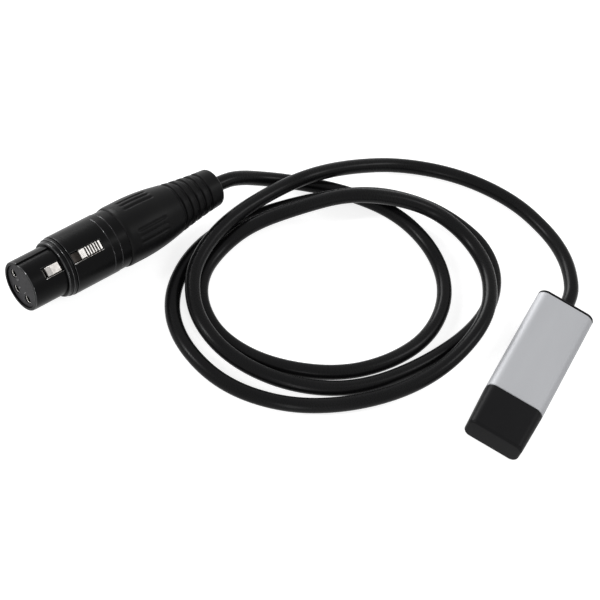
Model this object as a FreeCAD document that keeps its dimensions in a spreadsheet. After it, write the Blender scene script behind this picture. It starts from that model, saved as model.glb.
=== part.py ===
# USB DMX interface: a stick-shaped housing, its cable in three loose loops, and a latching
# three-contact cable connector. Millimetres, +Z up, +Y from the USB plug towards the cable.
# The origin is under the middle of the housing, on the surface that everything rests on.
import FreeCAD, Part
import math
import os
import Sketcher
import types

Vector = FreeCAD.Vector
doc = FreeCAD.newDocument("UsbDmxInterface")

# Driving dimensions
sizes = {
    # case sleeve, an aluminium extrusion with a slot for the board in each side
    "case_width": 19.5,
    "case_height": 8.6,
    "case_corner": 3.0,
    "case_wall": 1.2,
    "case_length": 41.6,
    "case_edge": 0.3,
    "press_gap": 0.05,
    # plastic end pieces of the case
    "bezel_depth": 4.0,
    "rear_flange": 0.8,
    "rear_spigot": 5.0,
    "rear_edge": 0.4,
    # cap over the plug
    "cap_length": 15.6,
    "cap_gap": 0.12,
    "cap_draw": 0.55,
    "cap_drop": 0.25,
    "cap_nose_corner": 2.4,
    "cap_edge": 0.9,
    "cap_socket_gap": 0.12,
    "cap_socket_spare": 0.6,
    # USB plug
    "plug_width": 12.0,
    "plug_height": 4.5,
    "plug_corner": 0.6,
    "plug_wall": 0.3,
    "plug_reach": 12.0,
    "plug_length": 18.75,
    "window_width": 2.4,
    "window_length": 2.3,
    "window_setback": 5.2,
    "window_spacing": 4.5,
    "tab_width": 1.4,
    "tab_length": 2.0,
    "tab_thickness": 0.3,
    "tongue_thickness": 1.84,
    "tongue_setback": 0.3,
    "tongue_gap": 0.06,
    "strip_width": 1.0,
    "strip_thickness": 0.15,
    "strip_setback": 1.2,
    "strip_outer_spacing": 7.0,
    "strip_inner_spacing": 2.0,
    "strip_overlap": 2.0,
    # circuit board and what is soldered to it
    "board_thickness": 1.0,
    "board_height": 3.1,
    "board_length": 26.0,
    "board_grip": 0.5,
    "board_gap": 0.1,
    "board_setback": 0.2,
    "wire_hole": 1.1,
    "wire_hole_margin": 2.0,
    "wire_hole_spacing": 3.0,
    "chip_width": 5.3,
    "chip_length": 10.2,
    "chip_height": 1.75,
    "driver_width": 3.9,
    "driver_length": 4.9,
    "driver_height": 1.5,
    "lead_width": 0.3,
    "lead_thickness": 0.2,
    "lead_shoulder": 0.5,
    "lead_foot": 0.7,
    "chip_pitch": 0.65,
    "driver_pitch": 1.27,
    "crystal_width": 3.2,
    "crystal_length": 5.0,
    "crystal_height": 1.1,
    "crystal_base": 0.45,
    "crystal_ledge": 0.3,
    "capacitor_width": 1.25,
    "capacitor_length": 2.0,
    "capacitor_height": 0.9,
    "resistor_width": 0.8,
    "resistor_length": 1.6,
    "resistor_height": 0.45,
    # cable and its cores
    "cable_diameter": 4.7,
    "cable_gap": 0.05,
    "core_diameter": 1.0,
    "core_spread": 0.95,
    "core_rise": 0.2,
    "case_tail": 9.6,
    "tie_width": 2.5,
    "tie_thickness": 0.7,
    "tie_setback": 1.2,
    "tie_head_width": 2.6,
    "tie_head_height": 3.2,
    # connector shell
    "connector_length": 72.8,
    "nose_radius": 7.9,
    "nose_length": 11.4,
    "nose_bore": 6.9,
    "nose_edge": 0.3,
    "lip_radius": 8.9,
    "lip_length": 1.4,
    "lip_edge": 0.55,
    "bead_radius": 9.25,
    "bead_length": 1.1,
    "bead_edge": 0.3,
    "neck_radius": 8.9,
    "neck_length": 0.25,
    "barrel_radius": 9.45,
    "barrel_end": 27.65,
    "barrel_edge": 0.15,
    "barrel_bore": 8.2,
    "barrel_bore_start": 14.5,
    "ring_seat_radius": 8.7,
    "ring_length": 2.85,
    "ring_gap": 0.05,
    "ring_edge": 0.15,
    "key_width": 1.8,
    "key_depth": 0.5,
    # latch and its windows
    "latch_width": 2.8,
    "window_gap": 0.3,
    "hook_window_start": 5.0,
    "button_window_start": 14.4,
    "button_window_end": 25.2,
    "pivot_y": 25.9,
    "pivot_z": 5.6,
    "pivot_radius": 0.8,
    "pivot_gap": 0.06,
    "trunnion_length": 0.7,
    "arm_under": 5.3,
    "arm_top": 6.35,
    "hook_front": 5.4,
    "hook_ramp": 7.2,
    "hook_back": 10.2,
    "hook_end": 10.8,
    "hook_height": 8.45,
    "hook_crown": 4.5,
    "hook_back_height": 7.7,
    "button_front": 17.0,
    "button_back": 24.6,
    "button_height": 9.95,
    "button_edge": 0.3,
    "step_front": 14.9,
    "step_height": 8.3,
    "rib_width": 0.4,
    "rib_depth": 0.35,
    "rib_pitch": 0.9,
    "rib_start": 19.0,
    "spring_width": 2.4,
    "spring_thickness": 0.2,
    "spring_foot": 20.0,
    "spring_bend": 16.4,
    "spring_tip": 9.5,
    "spring_gap": 0.06,
    "spring_lip": 0.7,
    # insert and contacts
    "insert_recess": 0.6,
    "insert_gap": 0.05,
    "insert_end": 27.6,
    "insert_disc": 3.6,
    "slot_floor": 3.2,
    "slot_gap": 0.4,
    "contact_pitch": 4.5,
    "contact_radius": 1.75,
    "contact_bore": 1.23,
    "contact_depth": 13.0,
    "contact_slit": 0.4,
    "contact_slit_length": 8.0,
    "contact_setback": 1.0,
    "contact_mouth": 1.45,
    "contact_nose": 0.5,
    "contact_seat_gap": 0.05,
    "cup_radius": 1.3,
    "cup_bore": 0.85,
    "cup_length": 4.0,
    "cup_depth": 3.0,
    # clamp, bushing and boot
    "bushing_start": 27.9,
    "bushing_bore": 6.6,
    "bushing_thread": 8.1,
    "bushing_core": 8.0,
    "collar_radius": 9.3,
    "collar_end": 33.95,
    "bushing_taper": 42.0,
    "bushing_throat": 46.6,
    "throat_radius": 5.0,
    "bushing_shoulder": 47.0,
    "bushing_end": 49.0,
    "bushing_tip_radius": 7.0,
    "bushing_hole": 2.6,
    "chuck_start": 37.5,
    "chuck_gap": 0.15,
    "chuck_edge": 0.8,
    "chuck_slit": 0.8,
    "chuck_slit_length": 5.5,
    "boot_radius": 9.75,
    "boot_mouth_radius": 9.5,
    "boot_mouth": 1.6,
    "boot_bulge_start": 40.0,
    "boot_waist_y": 52.7,
    "boot_waist_radius": 8.6,
    "boot_tail_radius": 6.1,
    "boot_tail_edge": 1.1,
    "boot_flare": 193.0,
    "boot_gap": 0.05,
    "rib_groove_start": 56.1,
    "rib_groove_pitch": 2.78,
    "rib_groove_top": 1.5,
    "rib_groove_floor": 0.7,
    "rib_groove_depth": 0.65,
    "flute_radius": 1.1,
    "flute_start": 37.8,
    "flute_length": 10.8,
    "flute_depth": 0.3,
    "flute_drop": 0.5,
    "connector_tail": 35.8,
    "core_lead": 1.5,
}
# Counts, angles and shares
chip_lead_count = 7
driver_lead_count = 4
button_rib_count = 6
rib_groove_count = 5
flute_groups = 5
flutes_in_group = 3
flute_step_angle = 12.0
flute_group_angle = 22.5
key_angle = -47.0
contact_angle = 74.0
latch_roll_angle = 23.5
chuck_slits = 4
arc_share = 0.45
# How closely an edge has to lie on a place to count as being there
near = 1e-4

sheet = doc.addObject("Spreadsheet::Sheet", "sizes")
for row, (name, value) in enumerate(sizes.items(), start=1):
    sheet.set(f"A{row}", name)
    sheet.set(f"B{row}", str(value))
    sheet.setAlias(f"B{row}", name)
doc.recompute()


# A number together with the sheet formula that gives it, so a sum of sizes can be bound
class Size:
    def __init__(self, number, formula):
        self.number = number
        self.formula = formula

    def __add__(self, other):
        return Size(self.number + number_of(other), f"({self.formula} + {formula_of(other)})")

    def __sub__(self, other):
        return Size(self.number - number_of(other), f"({self.formula} - {formula_of(other)})")

    def __mul__(self, other):
        return Size(self.number * number_of(other), f"({self.formula} * {formula_of(other)})")

    def __truediv__(self, other):
        return Size(self.number / number_of(other), f"({self.formula} / {formula_of(other)})")

    def __neg__(self):
        return Size(-self.number, f"(0 - {self.formula})")


def number_of(value):
    return value.number if isinstance(value, Size) else value


def formula_of(value):
    return value.formula if isinstance(value, Size) else str(value)


def smaller(first, second):
    return Size(min(first.number, second.number), f"min({first.formula}; {second.formula})")


s = types.SimpleNamespace(**{name: Size(value, f"sizes.{name}") for name, value in sizes.items()})


def bind(thing, name, value):
    if isinstance(value, Size):
        thing.setExpression(name, value.formula)
    else:
        setattr(thing, name, value)


def move(thing, x=0, y=0, z=0, turn=FreeCAD.Rotation()):
    thing.Placement = FreeCAD.Placement(Vector(number_of(x), number_of(y), number_of(z)), turn)
    for axis, value in (("x", x), ("y", y), ("z", z)):
        if isinstance(value, Size):
            thing.setExpression(f".Placement.Base.{axis}", value.formula)


# Sketches: a corner is (x, y), or (x, y, radius) where an arc leads up to it. A positive radius
# turns left, a negative one right.
def sketch_on(body, role, offset=0):
    sketch = body.newObject("Sketcher::SketchObject", "Sketch")
    plane = next(item for item in body.Origin.OriginFeatures if item.Role == role)
    sketch.AttachmentSupport = [(plane, "")]
    sketch.MapMode = "FlatFace"
    # The XZ plane faces -Y, so a distance along +Y is negative there
    along = -offset if role == "XZ_Plane" else offset
    sketch.AttachmentOffset = FreeCAD.Placement(Vector(0, 0, number_of(along)), FreeCAD.Rotation())
    if isinstance(along, Size):
        sketch.setExpression(".AttachmentOffset.Base.z", along.formula)
    return sketch


def hold(sketch, kind, geometry, point, value):
    axis = -2 if kind == "DistanceX" else -1
    if isinstance(value, Size):
        index = sketch.addConstraint(Sketcher.Constraint(kind, -1, 1, geometry, point, value.number))
        sketch.setExpression(f"Constraints[{index}]", value.formula)
    else:
        sketch.addConstraint(Sketcher.Constraint("PointOnObject", geometry, point, axis))


def draw(sketch, corners):
    ends = []
    for index, corner in enumerate(corners):
        start = Vector(number_of(corners[index - 1][0]), number_of(corners[index - 1][1]), 0)
        end = Vector(number_of(corner[0]), number_of(corner[1]), 0)
        if len(corner) == 2:
            ends.append((sketch.addGeometry(Part.LineSegment(start, end), False), 1, 2))
            continue
        radius = number_of(corner[2])
        chord = end - start
        normal = Vector(-chord.y, chord.x, 0).normalize()
        rise = math.sqrt(radius ** 2 - (chord.Length / 2) ** 2)
        centre = (start + end) / 2 + normal * math.copysign(rise, radius)
        circle = Part.Circle(centre, Vector(0, 0, 1), abs(radius))
        angles = [math.atan2(point.y - centre.y, point.x - centre.x) for point in (start, end)]
        if radius < 0:
            angles.reverse()
        arc = sketch.addGeometry(Part.ArcOfCircle(circle, *angles), False)
        constraint = sketch.addConstraint(Sketcher.Constraint("Radius", arc, abs(radius)))
        size = corner[2] if radius > 0 else -corner[2]
        sketch.setExpression(f"Constraints[{constraint}]", size.formula)
        ends.append((arc, 1, 2) if radius > 0 else (arc, 2, 1))
    for index, (geometry, start, end) in enumerate(ends):
        following, point = ends[(index + 1) % len(ends)][:2]
        sketch.addConstraint(Sketcher.Constraint("Coincident", geometry, end, following, point))
        hold(sketch, "DistanceX", geometry, end, corners[index][0])
        hold(sketch, "DistanceY", geometry, end, corners[index][1])


def draw_circle(sketch, x, y, radius):
    centre = Vector(number_of(x), number_of(y), 0)
    circle = sketch.addGeometry(Part.Circle(centre, Vector(0, 0, 1), radius.number), False)
    hold(sketch, "DistanceX", circle, 3, x)
    hold(sketch, "DistanceY", circle, 3, y)
    index = sketch.addConstraint(Sketcher.Constraint("Radius", circle, radius.number))
    sketch.setExpression(f"Constraints[{index}]", radius.formula)


def draw_box(sketch, left, right, low, high):
    draw(sketch, [(left, low), (right, low), (right, high), (left, high)])


def rounded(width, height, corner, middle=0):
    across, low, high = width / 2, -(height / 2) + middle, height / 2 + middle
    return [
        (corner - across, low, corner),
        (across - corner, low),
        (across, low + corner, corner),
        (across, high - corner),
        (across - corner, high, corner),
        (corner - across, high),
        (-across, high - corner, corner),
        (-across, low + corner),
    ]


# Features
def new_body(label):
    body = doc.addObject("PartDesign::Body", label)
    body.Label = label
    return body


def grow(body, sketch, length, side="One side", backwards=False):
    pad = body.newObject("PartDesign::Pad", "Pad")
    pad.Profile = sketch
    bind(pad, "Length", length)
    pad.SideType = side
    pad.Reversed = backwards
    doc.recompute()
    return pad


def volume_of(body):
    return 0 if body.Shape.isNull() else body.Shape.Volume


def cut(body, sketch, length, side="One side", backwards=False):
    before = volume_of(body)
    pocket = body.newObject("PartDesign::Pocket", "Pocket")
    pocket.Profile = sketch
    bind(pocket, "Length", length)
    pocket.SideType = side
    pocket.Reversed = backwards
    doc.recompute()
    require_cut(body, before)
    return pocket


def spin(body, sketch, kind="Revolution"):
    before = volume_of(body)
    feature = body.newObject(f"PartDesign::{kind}", kind)
    feature.Profile = sketch
    feature.ReferenceAxis = (sketch, ["V_Axis"])
    feature.Angle = 360
    doc.recompute()
    if kind == "Groove":
        require_cut(body, before)
    return feature


def require_cut(body, before):
    if not 0 < body.Shape.Volume < before:
        raise ValueError(f"{body.Label}: a cut took nothing away")


def soften(body, edges, size, kind="Fillet"):
    feature = body.newObject(f"PartDesign::{kind}", kind)
    feature.Base = (feature.BaseFeature, edges)
    bind(feature, "Radius" if kind == "Fillet" else "Size", size)
    doc.recompute()
    if not feature.Shape.isValid():
        raise ValueError(f"{body.Label}: an edge was not softened")


def edges_where(body, test):
    return [f"Edge{index}" for index, edge in enumerate(body.Shape.Edges, start=1) if test(edge)]


def ring_edges(body, radius, height):
    def matches(edge):
        curve = edge.Curve
        if not isinstance(curve, Part.Circle):
            return False
        same_radius = abs(curve.Radius - radius.number) < near
        return same_radius and abs(edge.CenterOfMass.y - height.number) < near

    return edges_where(body, matches)


def pattern(body, kind, originals, axis_sketch, axis, occurrences, **extent):
    feature = body.newObject(f"PartDesign::{kind}", kind)
    feature.Originals = originals
    setattr(feature, "Axis" if kind == "PolarPattern" else "Direction", (axis_sketch, [axis]))
    feature.Occurrences = occurrences
    for name, value in extent.items():
        bind(feature, name, value)
    body.Tip = feature
    doc.recompute()
    return feature


def box(label, x, y, z, width, length, height):
    block = doc.addObject("Part::Box", label)
    bind(block, "Length", width)
    bind(block, "Width", length)
    bind(block, "Height", height)
    move(block, x, y, z)
    return block


def rod(label, x, y, z, radius, length):
    cylinder = doc.addObject("Part::Cylinder", label)
    bind(cylinder, "Radius", radius)
    bind(cylinder, "Height", length)
    move(cylinder, x, y, z, FreeCAD.Rotation(Vector(1, 0, 0), -90))
    return cylinder


def group(label, members):
    compound = doc.addObject("Part::Compound", label)
    compound.Links = members
    return compound


def join(label, first, second):
    fusion = doc.addObject("Part::Fuse", label)
    fusion.Base, fusion.Tool = first, second
    return fusion


def remove(label, base, tool):
    difference = doc.addObject("Part::Cut", label)
    difference.Base, difference.Tool = base, tool
    return difference


# A tube along straight runs joined by tangent arcs. Each arc is as large as its two runs allow.
def rounded_path(points):
    edges, radii, start = [], [], points[0]
    for before, corner, after in zip(points, points[1:], points[2:]):
        back, onward = before - corner, after - corner
        turn = math.pi - back.getAngle(onward)
        cut_back = arc_share * min(back.Length, onward.Length)
        radius = cut_back / math.tan(turn / 2)
        back.normalize()
        onward.normalize()
        entry, leave = corner + back * cut_back, corner + onward * cut_back
        inward = (back + onward).normalize()
        middle = corner + inward * (radius / math.cos(turn / 2) - radius)
        edges.append(Part.LineSegment(start, entry).toShape())
        edges.append(Part.Arc(entry, middle, leave).toShape())
        radii.append(radius)
        start = leave
    edges.append(Part.LineSegment(start, points[-1]).toShape())
    return Part.Wire(edges), radii


def tube(label, points, diameter):
    path, radii = rounded_path([Vector(*[number_of(value) for value in point]) for point in points])
    direction = path.Edges[0].tangentAt(path.Edges[0].FirstParameter)
    section = Part.Wire([Part.makeCircle(diameter.number / 2, path.Vertexes[0].Point, direction)])
    feature = doc.addObject("Part::Feature", label)
    feature.Label = label
    feature.Shape = path.makePipeShell([section], True, False)
    expected = math.pi * diameter.number ** 2 / 4 * path.Length
    if abs(feature.Shape.Volume / expected - 1) > 0.01:
        raise ValueError(f"{label}: its volume is not its section times its length")
    return feature, path, radii


parts = []

# Places along the case, worked out from its pieces
half_length = (s.cap_length + s.case_length + s.rear_flange) / 2
case_front = s.cap_length - half_length
case_rear = case_front + s.case_length
cable_exit = case_rear + s.rear_flange
middle = s.case_height / 2
inner_width = s.case_width - s.case_wall * 2
inner_height = s.case_height - s.case_wall * 2
inner_corner = s.case_corner - s.case_wall
board_top = s.board_height + s.board_thickness
board_front = case_front + s.bezel_depth + s.board_setback
board_rear = board_front + s.board_length
board_half_width = inner_width / 2 + s.board_grip - s.board_gap
plug_front = case_front - s.plug_reach
plug_rear = plug_front + s.plug_length

# Case sleeve: the extruded tube, a slot for the board in each side, and broken ends
case_sleeve = new_body("case_sleeve")
outline = sketch_on(case_sleeve, "XZ_Plane", case_front)
draw(outline, rounded(s.case_width, s.case_height, s.case_corner, middle))
draw(outline, rounded(inner_width, inner_height, inner_corner, middle))
grow(case_sleeve, outline, s.case_length, backwards=True)
slots = sketch_on(case_sleeve, "XZ_Plane", case_front)
slot_half_width = inner_width / 2 + s.board_grip
draw_box(slots, -slot_half_width, slot_half_width, s.board_height - s.board_gap, board_top + s.board_gap)
cut(case_sleeve, slots, s.case_length)


def is_outer_end(edge):
    middle_point = edge.valueAt((edge.FirstParameter + edge.LastParameter) / 2)
    ends = (case_front.number, case_rear.number)
    on_end = any(all(abs(v.Point.y - end) < near for v in edge.Vertexes) for end in ends)
    past_side = abs(middle_point.x) > (inner_width + s.case_wall / 2).number / 2
    past_top = abs(middle_point.z - middle.number) > (inner_height + s.case_wall / 2).number / 2
    return on_end and (past_side or past_top)


soften(case_sleeve, edges_where(case_sleeve, is_outer_end), s.case_edge, "Chamfer")
parts.append(case_sleeve)

# Front bezel: fills the sleeve's mouth round the plug
front_bezel = new_body("front_bezel")
outline = sketch_on(front_bezel, "XZ_Plane", case_front)
fit = s.press_gap * 2
draw(outline, rounded(inner_width - fit, inner_height - fit, inner_corner - s.press_gap, middle))
draw(outline, rounded(s.plug_width + fit, s.plug_height + fit, s.plug_corner + s.press_gap, middle))
grow(front_bezel, outline, s.bezel_depth, backwards=True)
parts.append(front_bezel)

# USB plug shell: a folded steel tube with two windows in each broad side and a tab at each side
usb_plug_shell = new_body("usb_plug_shell")
outline = sketch_on(usb_plug_shell, "XZ_Plane", plug_front)
shell_inner_width = s.plug_width - s.plug_wall * 2
shell_inner_height = s.plug_height - s.plug_wall * 2
draw(outline, rounded(s.plug_width, s.plug_height, s.plug_corner, middle))
draw(outline, rounded(shell_inner_width, shell_inner_height, s.plug_corner - s.plug_wall, middle))
grow(usb_plug_shell, outline, s.plug_length, backwards=True)
windows = sketch_on(usb_plug_shell, "XY_Plane", middle)
window_front = plug_front + s.window_setback
for side in (-1, 1):
    centre = s.window_spacing / 2 * side
    left, right = centre - s.window_width / 2, centre + s.window_width / 2
    draw_box(windows, left, right, window_front, window_front + s.window_length)
cut(usb_plug_shell, windows, s.plug_height * 2, "Symmetric")
tabs = sketch_on(usb_plug_shell, "XY_Plane", board_top)
tab_front = plug_rear - s.tab_length - s.tab_thickness
tab_root = s.plug_width / 2 - s.plug_wall / 2
tab_tip = s.plug_width / 2 + s.tab_width
draw_box(tabs, tab_root, tab_tip, tab_front, tab_front + s.tab_length)
draw_box(tabs, -tab_tip, -tab_root, tab_front, tab_front + s.tab_length)
grow(usb_plug_shell, tabs, s.tab_thickness)
parts.append(usb_plug_shell)

# Tongue and its four contact strips, which run back over the board
tongue_width = shell_inner_width - (s.plug_corner - s.plug_wall) * 2
tongue_floor = middle - shell_inner_height / 2 + s.tongue_gap
tongue_front = plug_front + s.tongue_setback
usb_tongue = box("usb_tongue", -(tongue_width / 2), tongue_front, tongue_floor,
                 tongue_width, s.plug_length - s.tongue_setback, s.tongue_thickness)
parts.append(usb_tongue)
strip_front = tongue_front + s.strip_setback
strip_length = plug_rear - strip_front + s.strip_overlap
strips = []
for side, spacing in ((-1, s.strip_outer_spacing), (-1, s.strip_inner_spacing),
                      (1, s.strip_inner_spacing), (1, s.strip_outer_spacing)):
    strips.append(box("strip", spacing / 2 * side - s.strip_width / 2, strip_front,
                      tongue_floor + s.tongue_thickness, s.strip_width, strip_length, s.strip_thickness))
parts.append(group("usb_contacts", strips))

# Circuit board: its front edge is notched for the plug, and three holes take the cable's cores
circuit_board = new_body("circuit_board")
outline = sketch_on(circuit_board, "XY_Plane", s.board_height)
notch = s.plug_width / 2 + s.board_gap
notch_end = plug_rear + s.board_gap
draw(outline, [
    (-board_half_width, board_front), (-notch, board_front), (-notch, notch_end), (notch, notch_end),
    (notch, board_front), (board_half_width, board_front), (board_half_width, board_rear),
    (-board_half_width, board_rear),
])
hole_row = board_rear - s.wire_hole_margin
for side in (-1, 0, 1):
    draw_circle(outline, s.wire_hole_spacing * side if side else 0, hole_row, s.wire_hole / 2)
grow(circuit_board, outline, s.board_thickness)
parts.append(circuit_board)


# A chip: moulded body on two rows of gull-wing leads, one lead bent from front to back and repeated
def chip(label, y, width, length, height, leads, pitch):
    body = new_body(label)
    package = sketch_on(body, "XY_Plane", board_top + s.lead_thickness / 2)
    draw_box(package, -(width / 2), width / 2, y - length / 2, y + length / 2)
    grow(body, package, height - s.lead_thickness / 2)
    first_lead = y - pitch * ((leads - 1) / 2)
    bent = sketch_on(body, "XZ_Plane", first_lead)
    knee = width / 2 + s.lead_shoulder
    inside = knee - s.lead_thickness
    tip = knee + s.lead_foot
    shoulder = board_top + height / 2
    sole = board_top + s.lead_thickness
    draw(bent, [
        (inside, shoulder - s.lead_thickness), (inside, board_top), (tip, board_top), (tip, sole),
        (knee, sole), (knee, shoulder), (-knee, shoulder), (-knee, sole), (-tip, sole),
        (-tip, board_top), (-inside, board_top), (-inside, shoulder - s.lead_thickness),
    ])
    lead = grow(body, bent, s.lead_width, "Symmetric")
    # The sketch's normal faces -Y, so the row runs backwards from it
    row = pattern(body, "LinearPattern", [lead], bent, "N_Axis", leads, Length=pitch * (leads - 1))
    row.Reversed = True
    doc.recompute()
    return body


# Both chips stand between the contact strips and the cores' holes, and share out the spare room there
strip_rear = strip_front + strip_length
chip_room = hole_row - s.wire_hole / 2 - strip_rear
spare_room = chip_room - s.chip_length - s.driver_length
chip_front_share, driver_front_share = 0.333, 0.475
chip_y = strip_rear + spare_room * chip_front_share + s.chip_length / 2
driver_y = chip_y + (s.chip_length + s.driver_length) / 2 + spare_room * driver_front_share
parts.append(chip("usb_chip", chip_y, s.chip_width, s.chip_length, s.chip_height,
                  chip_lead_count, s.chip_pitch))
parts.append(chip("line_driver_chip", driver_y, s.driver_width, s.driver_length, s.driver_height,
                  driver_lead_count, s.driver_pitch))

# Crystal: a lid on a slightly wider base
crystal_place_shares = (0.31, 0.36)
crystal = new_body("crystal")
crystal_x = s.case_width * crystal_place_shares[0]
crystal_y = board_front + s.board_length * crystal_place_shares[1]
base = sketch_on(crystal, "XY_Plane", board_top)
half_width, half_span = s.crystal_width / 2, s.crystal_length / 2
draw_box(base, crystal_x - half_width, crystal_x + half_width, crystal_y - half_span, crystal_y + half_span)
grow(crystal, base, s.crystal_base)
lid = sketch_on(crystal, "XY_Plane", board_top)
half_width, half_span = half_width - s.crystal_ledge, half_span - s.crystal_ledge
draw_box(lid, crystal_x - half_width, crystal_x + half_width, crystal_y - half_span, crystal_y + half_span)
grow(crystal, lid, s.crystal_height)
parts.append(crystal)


# Small parts in rows beside the chips, as shares of the board
def small_parts(label, place_shares, width, length, height):
    members = []
    for x_share, y_share in place_shares:
        members.append(box("small_part", s.case_width * x_share - width / 2,
                           board_front + s.board_length * y_share - length / 2, board_top,
                           width, length, height))
    return group(label, members)


capacitor_place_shares = ((-0.34, 0.34), (-0.34, 0.46), (-0.34, 0.58), (0.3, 0.88))
resistor_place_shares = ((0.3, 0.52), (0.3, 0.61), (0.3, 0.7), (-0.3, 0.72), (-0.3, 0.82))
parts.append(small_parts("chip_capacitors", capacitor_place_shares,
                         s.capacitor_width, s.capacitor_length, s.capacitor_height))
parts.append(small_parts("chip_resistors", resistor_place_shares,
                         s.resistor_width, s.resistor_length, s.resistor_height))

# Rear end cap: a rim as wide as the sleeve, a spigot inside it, and the cable hole through both
rear_end_cap = new_body("rear_end_cap")
rim = sketch_on(rear_end_cap, "XZ_Plane", case_rear)
draw(rim, rounded(s.case_width, s.case_height, s.case_corner, middle))
grow(rear_end_cap, rim, s.rear_flange, backwards=True)
soften(rear_end_cap, edges_where(rear_end_cap, lambda edge: all(
    abs(vertex.Point.y - cable_exit.number) < near for vertex in edge.Vertexes)), s.rear_edge)
spigot = sketch_on(rear_end_cap, "XZ_Plane", case_rear)
draw(spigot, rounded(inner_width - fit, inner_height - fit, inner_corner - s.press_gap, middle))
grow(rear_end_cap, spigot, s.rear_spigot)
hole = sketch_on(rear_end_cap, "XZ_Plane", case_rear)
draw_circle(hole, 0, middle, s.cable_diameter / 2 + s.cable_gap)
cut(rear_end_cap, hole, (s.rear_spigot + s.rear_flange) * 2, "Symmetric")
parts.append(rear_end_cap)

# Cable end inside the case, and the tie that stops it from being pulled out
tail_front = cable_exit - s.case_tail
cable_end_in_case = rod("cable_end_in_case", 0, tail_front, middle, s.cable_diameter / 2, s.case_tail)
parts.append(cable_end_in_case)
tie_front = tail_front + s.tie_setback
tie_radius = s.cable_diameter / 2 + s.cable_gap
band = rod("tie_band", 0, tie_front, middle, tie_radius + s.tie_thickness, s.tie_width)
head = box("tie_head", tie_radius, tie_front, middle - s.tie_head_height / 2,
           s.tie_head_width, s.tie_width, s.tie_head_height)
bore = rod("tie_bore", 0, tie_front - s.tie_width, middle, tie_radius, s.tie_width * 3)
parts.append(remove("cable_tie", join("tie_band_and_head", band, head), bore))

# Cable cores from the stripped end to their holes in the board
core_height = board_top + s.core_diameter / 2 + s.core_rise * 2
for label, side, lift_share in (("case_wire_ground", -1, -0.2), ("case_wire_minus", 0, 1),
                                ("case_wire_plus", 1, -0.2)):
    hole_x = s.wire_hole_spacing * side
    start_z = middle + s.core_spread * lift_share
    slack = (tail_front - hole_row) / 3
    core = [
        (s.core_spread * side, tail_front, start_z),
        (s.core_spread * side, tail_front - slack, start_z),
        (hole_x, hole_row + slack, core_height),
        (hole_x, hole_row, core_height),
        (hole_x, hole_row, s.board_height),
    ]
    parts.append(tube(label, core, s.core_diameter)[0])

# Cap: drawn in towards its nose, rounded there, with the plug's socket in its rear face
usb_cap = new_body("usb_cap")
cap_nose = case_front - s.cap_length
cap_mouth = case_front - s.cap_gap
wide_end = sketch_on(usb_cap, "XZ_Plane", cap_mouth)
draw(wide_end, rounded(s.case_width, s.case_height, s.case_corner, middle))
nose_end = sketch_on(usb_cap, "XZ_Plane", cap_nose)
nose_height = s.case_height - s.cap_drop
draw(nose_end, rounded(s.case_width - s.cap_draw * 2, nose_height, s.cap_nose_corner, nose_height / 2))
hull = usb_cap.newObject("PartDesign::AdditiveLoft", "Hull")
hull.Profile = wide_end
hull.Sections = [nose_end]
hull.Ruled = True
doc.recompute()
soften(usb_cap, edges_where(usb_cap, lambda edge: all(
    abs(vertex.Point.y - cap_nose.number) < near for vertex in edge.Vertexes)), s.cap_edge)
socket = sketch_on(usb_cap, "XZ_Plane", cap_mouth)
socket_fit = s.cap_socket_gap * 2
draw(socket, rounded(s.plug_width + socket_fit, s.plug_height + socket_fit,
                     s.plug_corner + s.cap_socket_gap, middle))
cut(usb_cap, socket, s.plug_reach + s.cap_socket_spare - s.cap_gap, backwards=True)
parts.append(usb_cap)

# Cable route, in order from the case to the connector: loose loops, each point chosen by hand.
# It starts on the case's cable hole and ends on the connector's axis, a boot radius above the table.
route = [
    (0, cable_exit, middle), (0, 34.9, middle), (-2.7, 41.3, 4.2), (-8, 48.7, 3.5), (-16.5, 55, 2.6),
    (-31.5, 59.5, 2.5), (-50.5, 57.5, 2.5), (-69, 49, 2.5), (-82, 35, 5.5), (-90.5, 21, 9), (-97, 10, 7.5),
    (-103, -7, 8), (-105, -22, 8), (-103.2, -35, 6.9), (-94, -46.8, 6), (-78.5, -52, 5.2),
    (-59.5, -48, 3.5), (-42.5, -36.5, 2.5), (-29.5, -17, 2.5), (-20.5, 7, 2.5), (-22, 25, 2.5),
    (-31, 36, 2.5), (-44.5, 39.5, 2.5), (-57.5, 36, 5.5), (-71.5, 27, 9), (-84.5, 16.5, 6),
    (-96, 4.5, 2.5), (-105.5, -12, 2.5), (-108, -29.5, 2.5), (-104, -45, 2.5), (-93.5, -55, 2.5),
    (-77, -59.5, 2.5), (-59, -55, 2.5), (-43.5, -44, 2.5), (-30, -29.5, 5), (-22, -12.5, 7),
    (-19.5, 8, 8.3), (-25.5, 24, 6.8), (-36.5, 32.5, 6.5), (-49.5, 34.5, 8), (-62, 29, 11.5),
    (-76.5, 19, 13), (-88, 7, 9), (-97.5, -6, 6.2), (-101.4, -17.5, 3.1), (-101.5, -29.5, 2.5),
    (-96, -39.5, 2.5), (-85, -46, 2.5), (-69, -45.3, 2.5), (-50.5, -36, 2.5), (-38.5, -22, 2.5),
    (-32, -5.5, 2.5), (-34, 12, 2.5), (-44.5, 24.5, 2.5), (-61, 30.5, 2.5), (-79.7, 27.2, 2.5),
    (-96.4, 18.9, 2.8), (-103.9, 12.3, 5.1), (-108.3, 6.6, 8.05), (-111.473, 1.26, s.boot_radius),
    (-113.41, -3.35, s.boot_radius),
]
cable, cable_path, cable_radii = tube("cable", route, s.cable_diameter)
parts.append(cable)


# Least distance between two stretches of the cable that are apart along it
def least_gap(path, diameter):
    samples = path.discretize(Distance=diameter / 2)
    step = path.Length / (len(samples) - 1)
    apart = math.ceil(4 * diameter / step)
    return min(samples[i].distanceToPoint(samples[j])
               for i in range(len(samples)) for j in range(i + apart, len(samples))) - diameter


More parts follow.
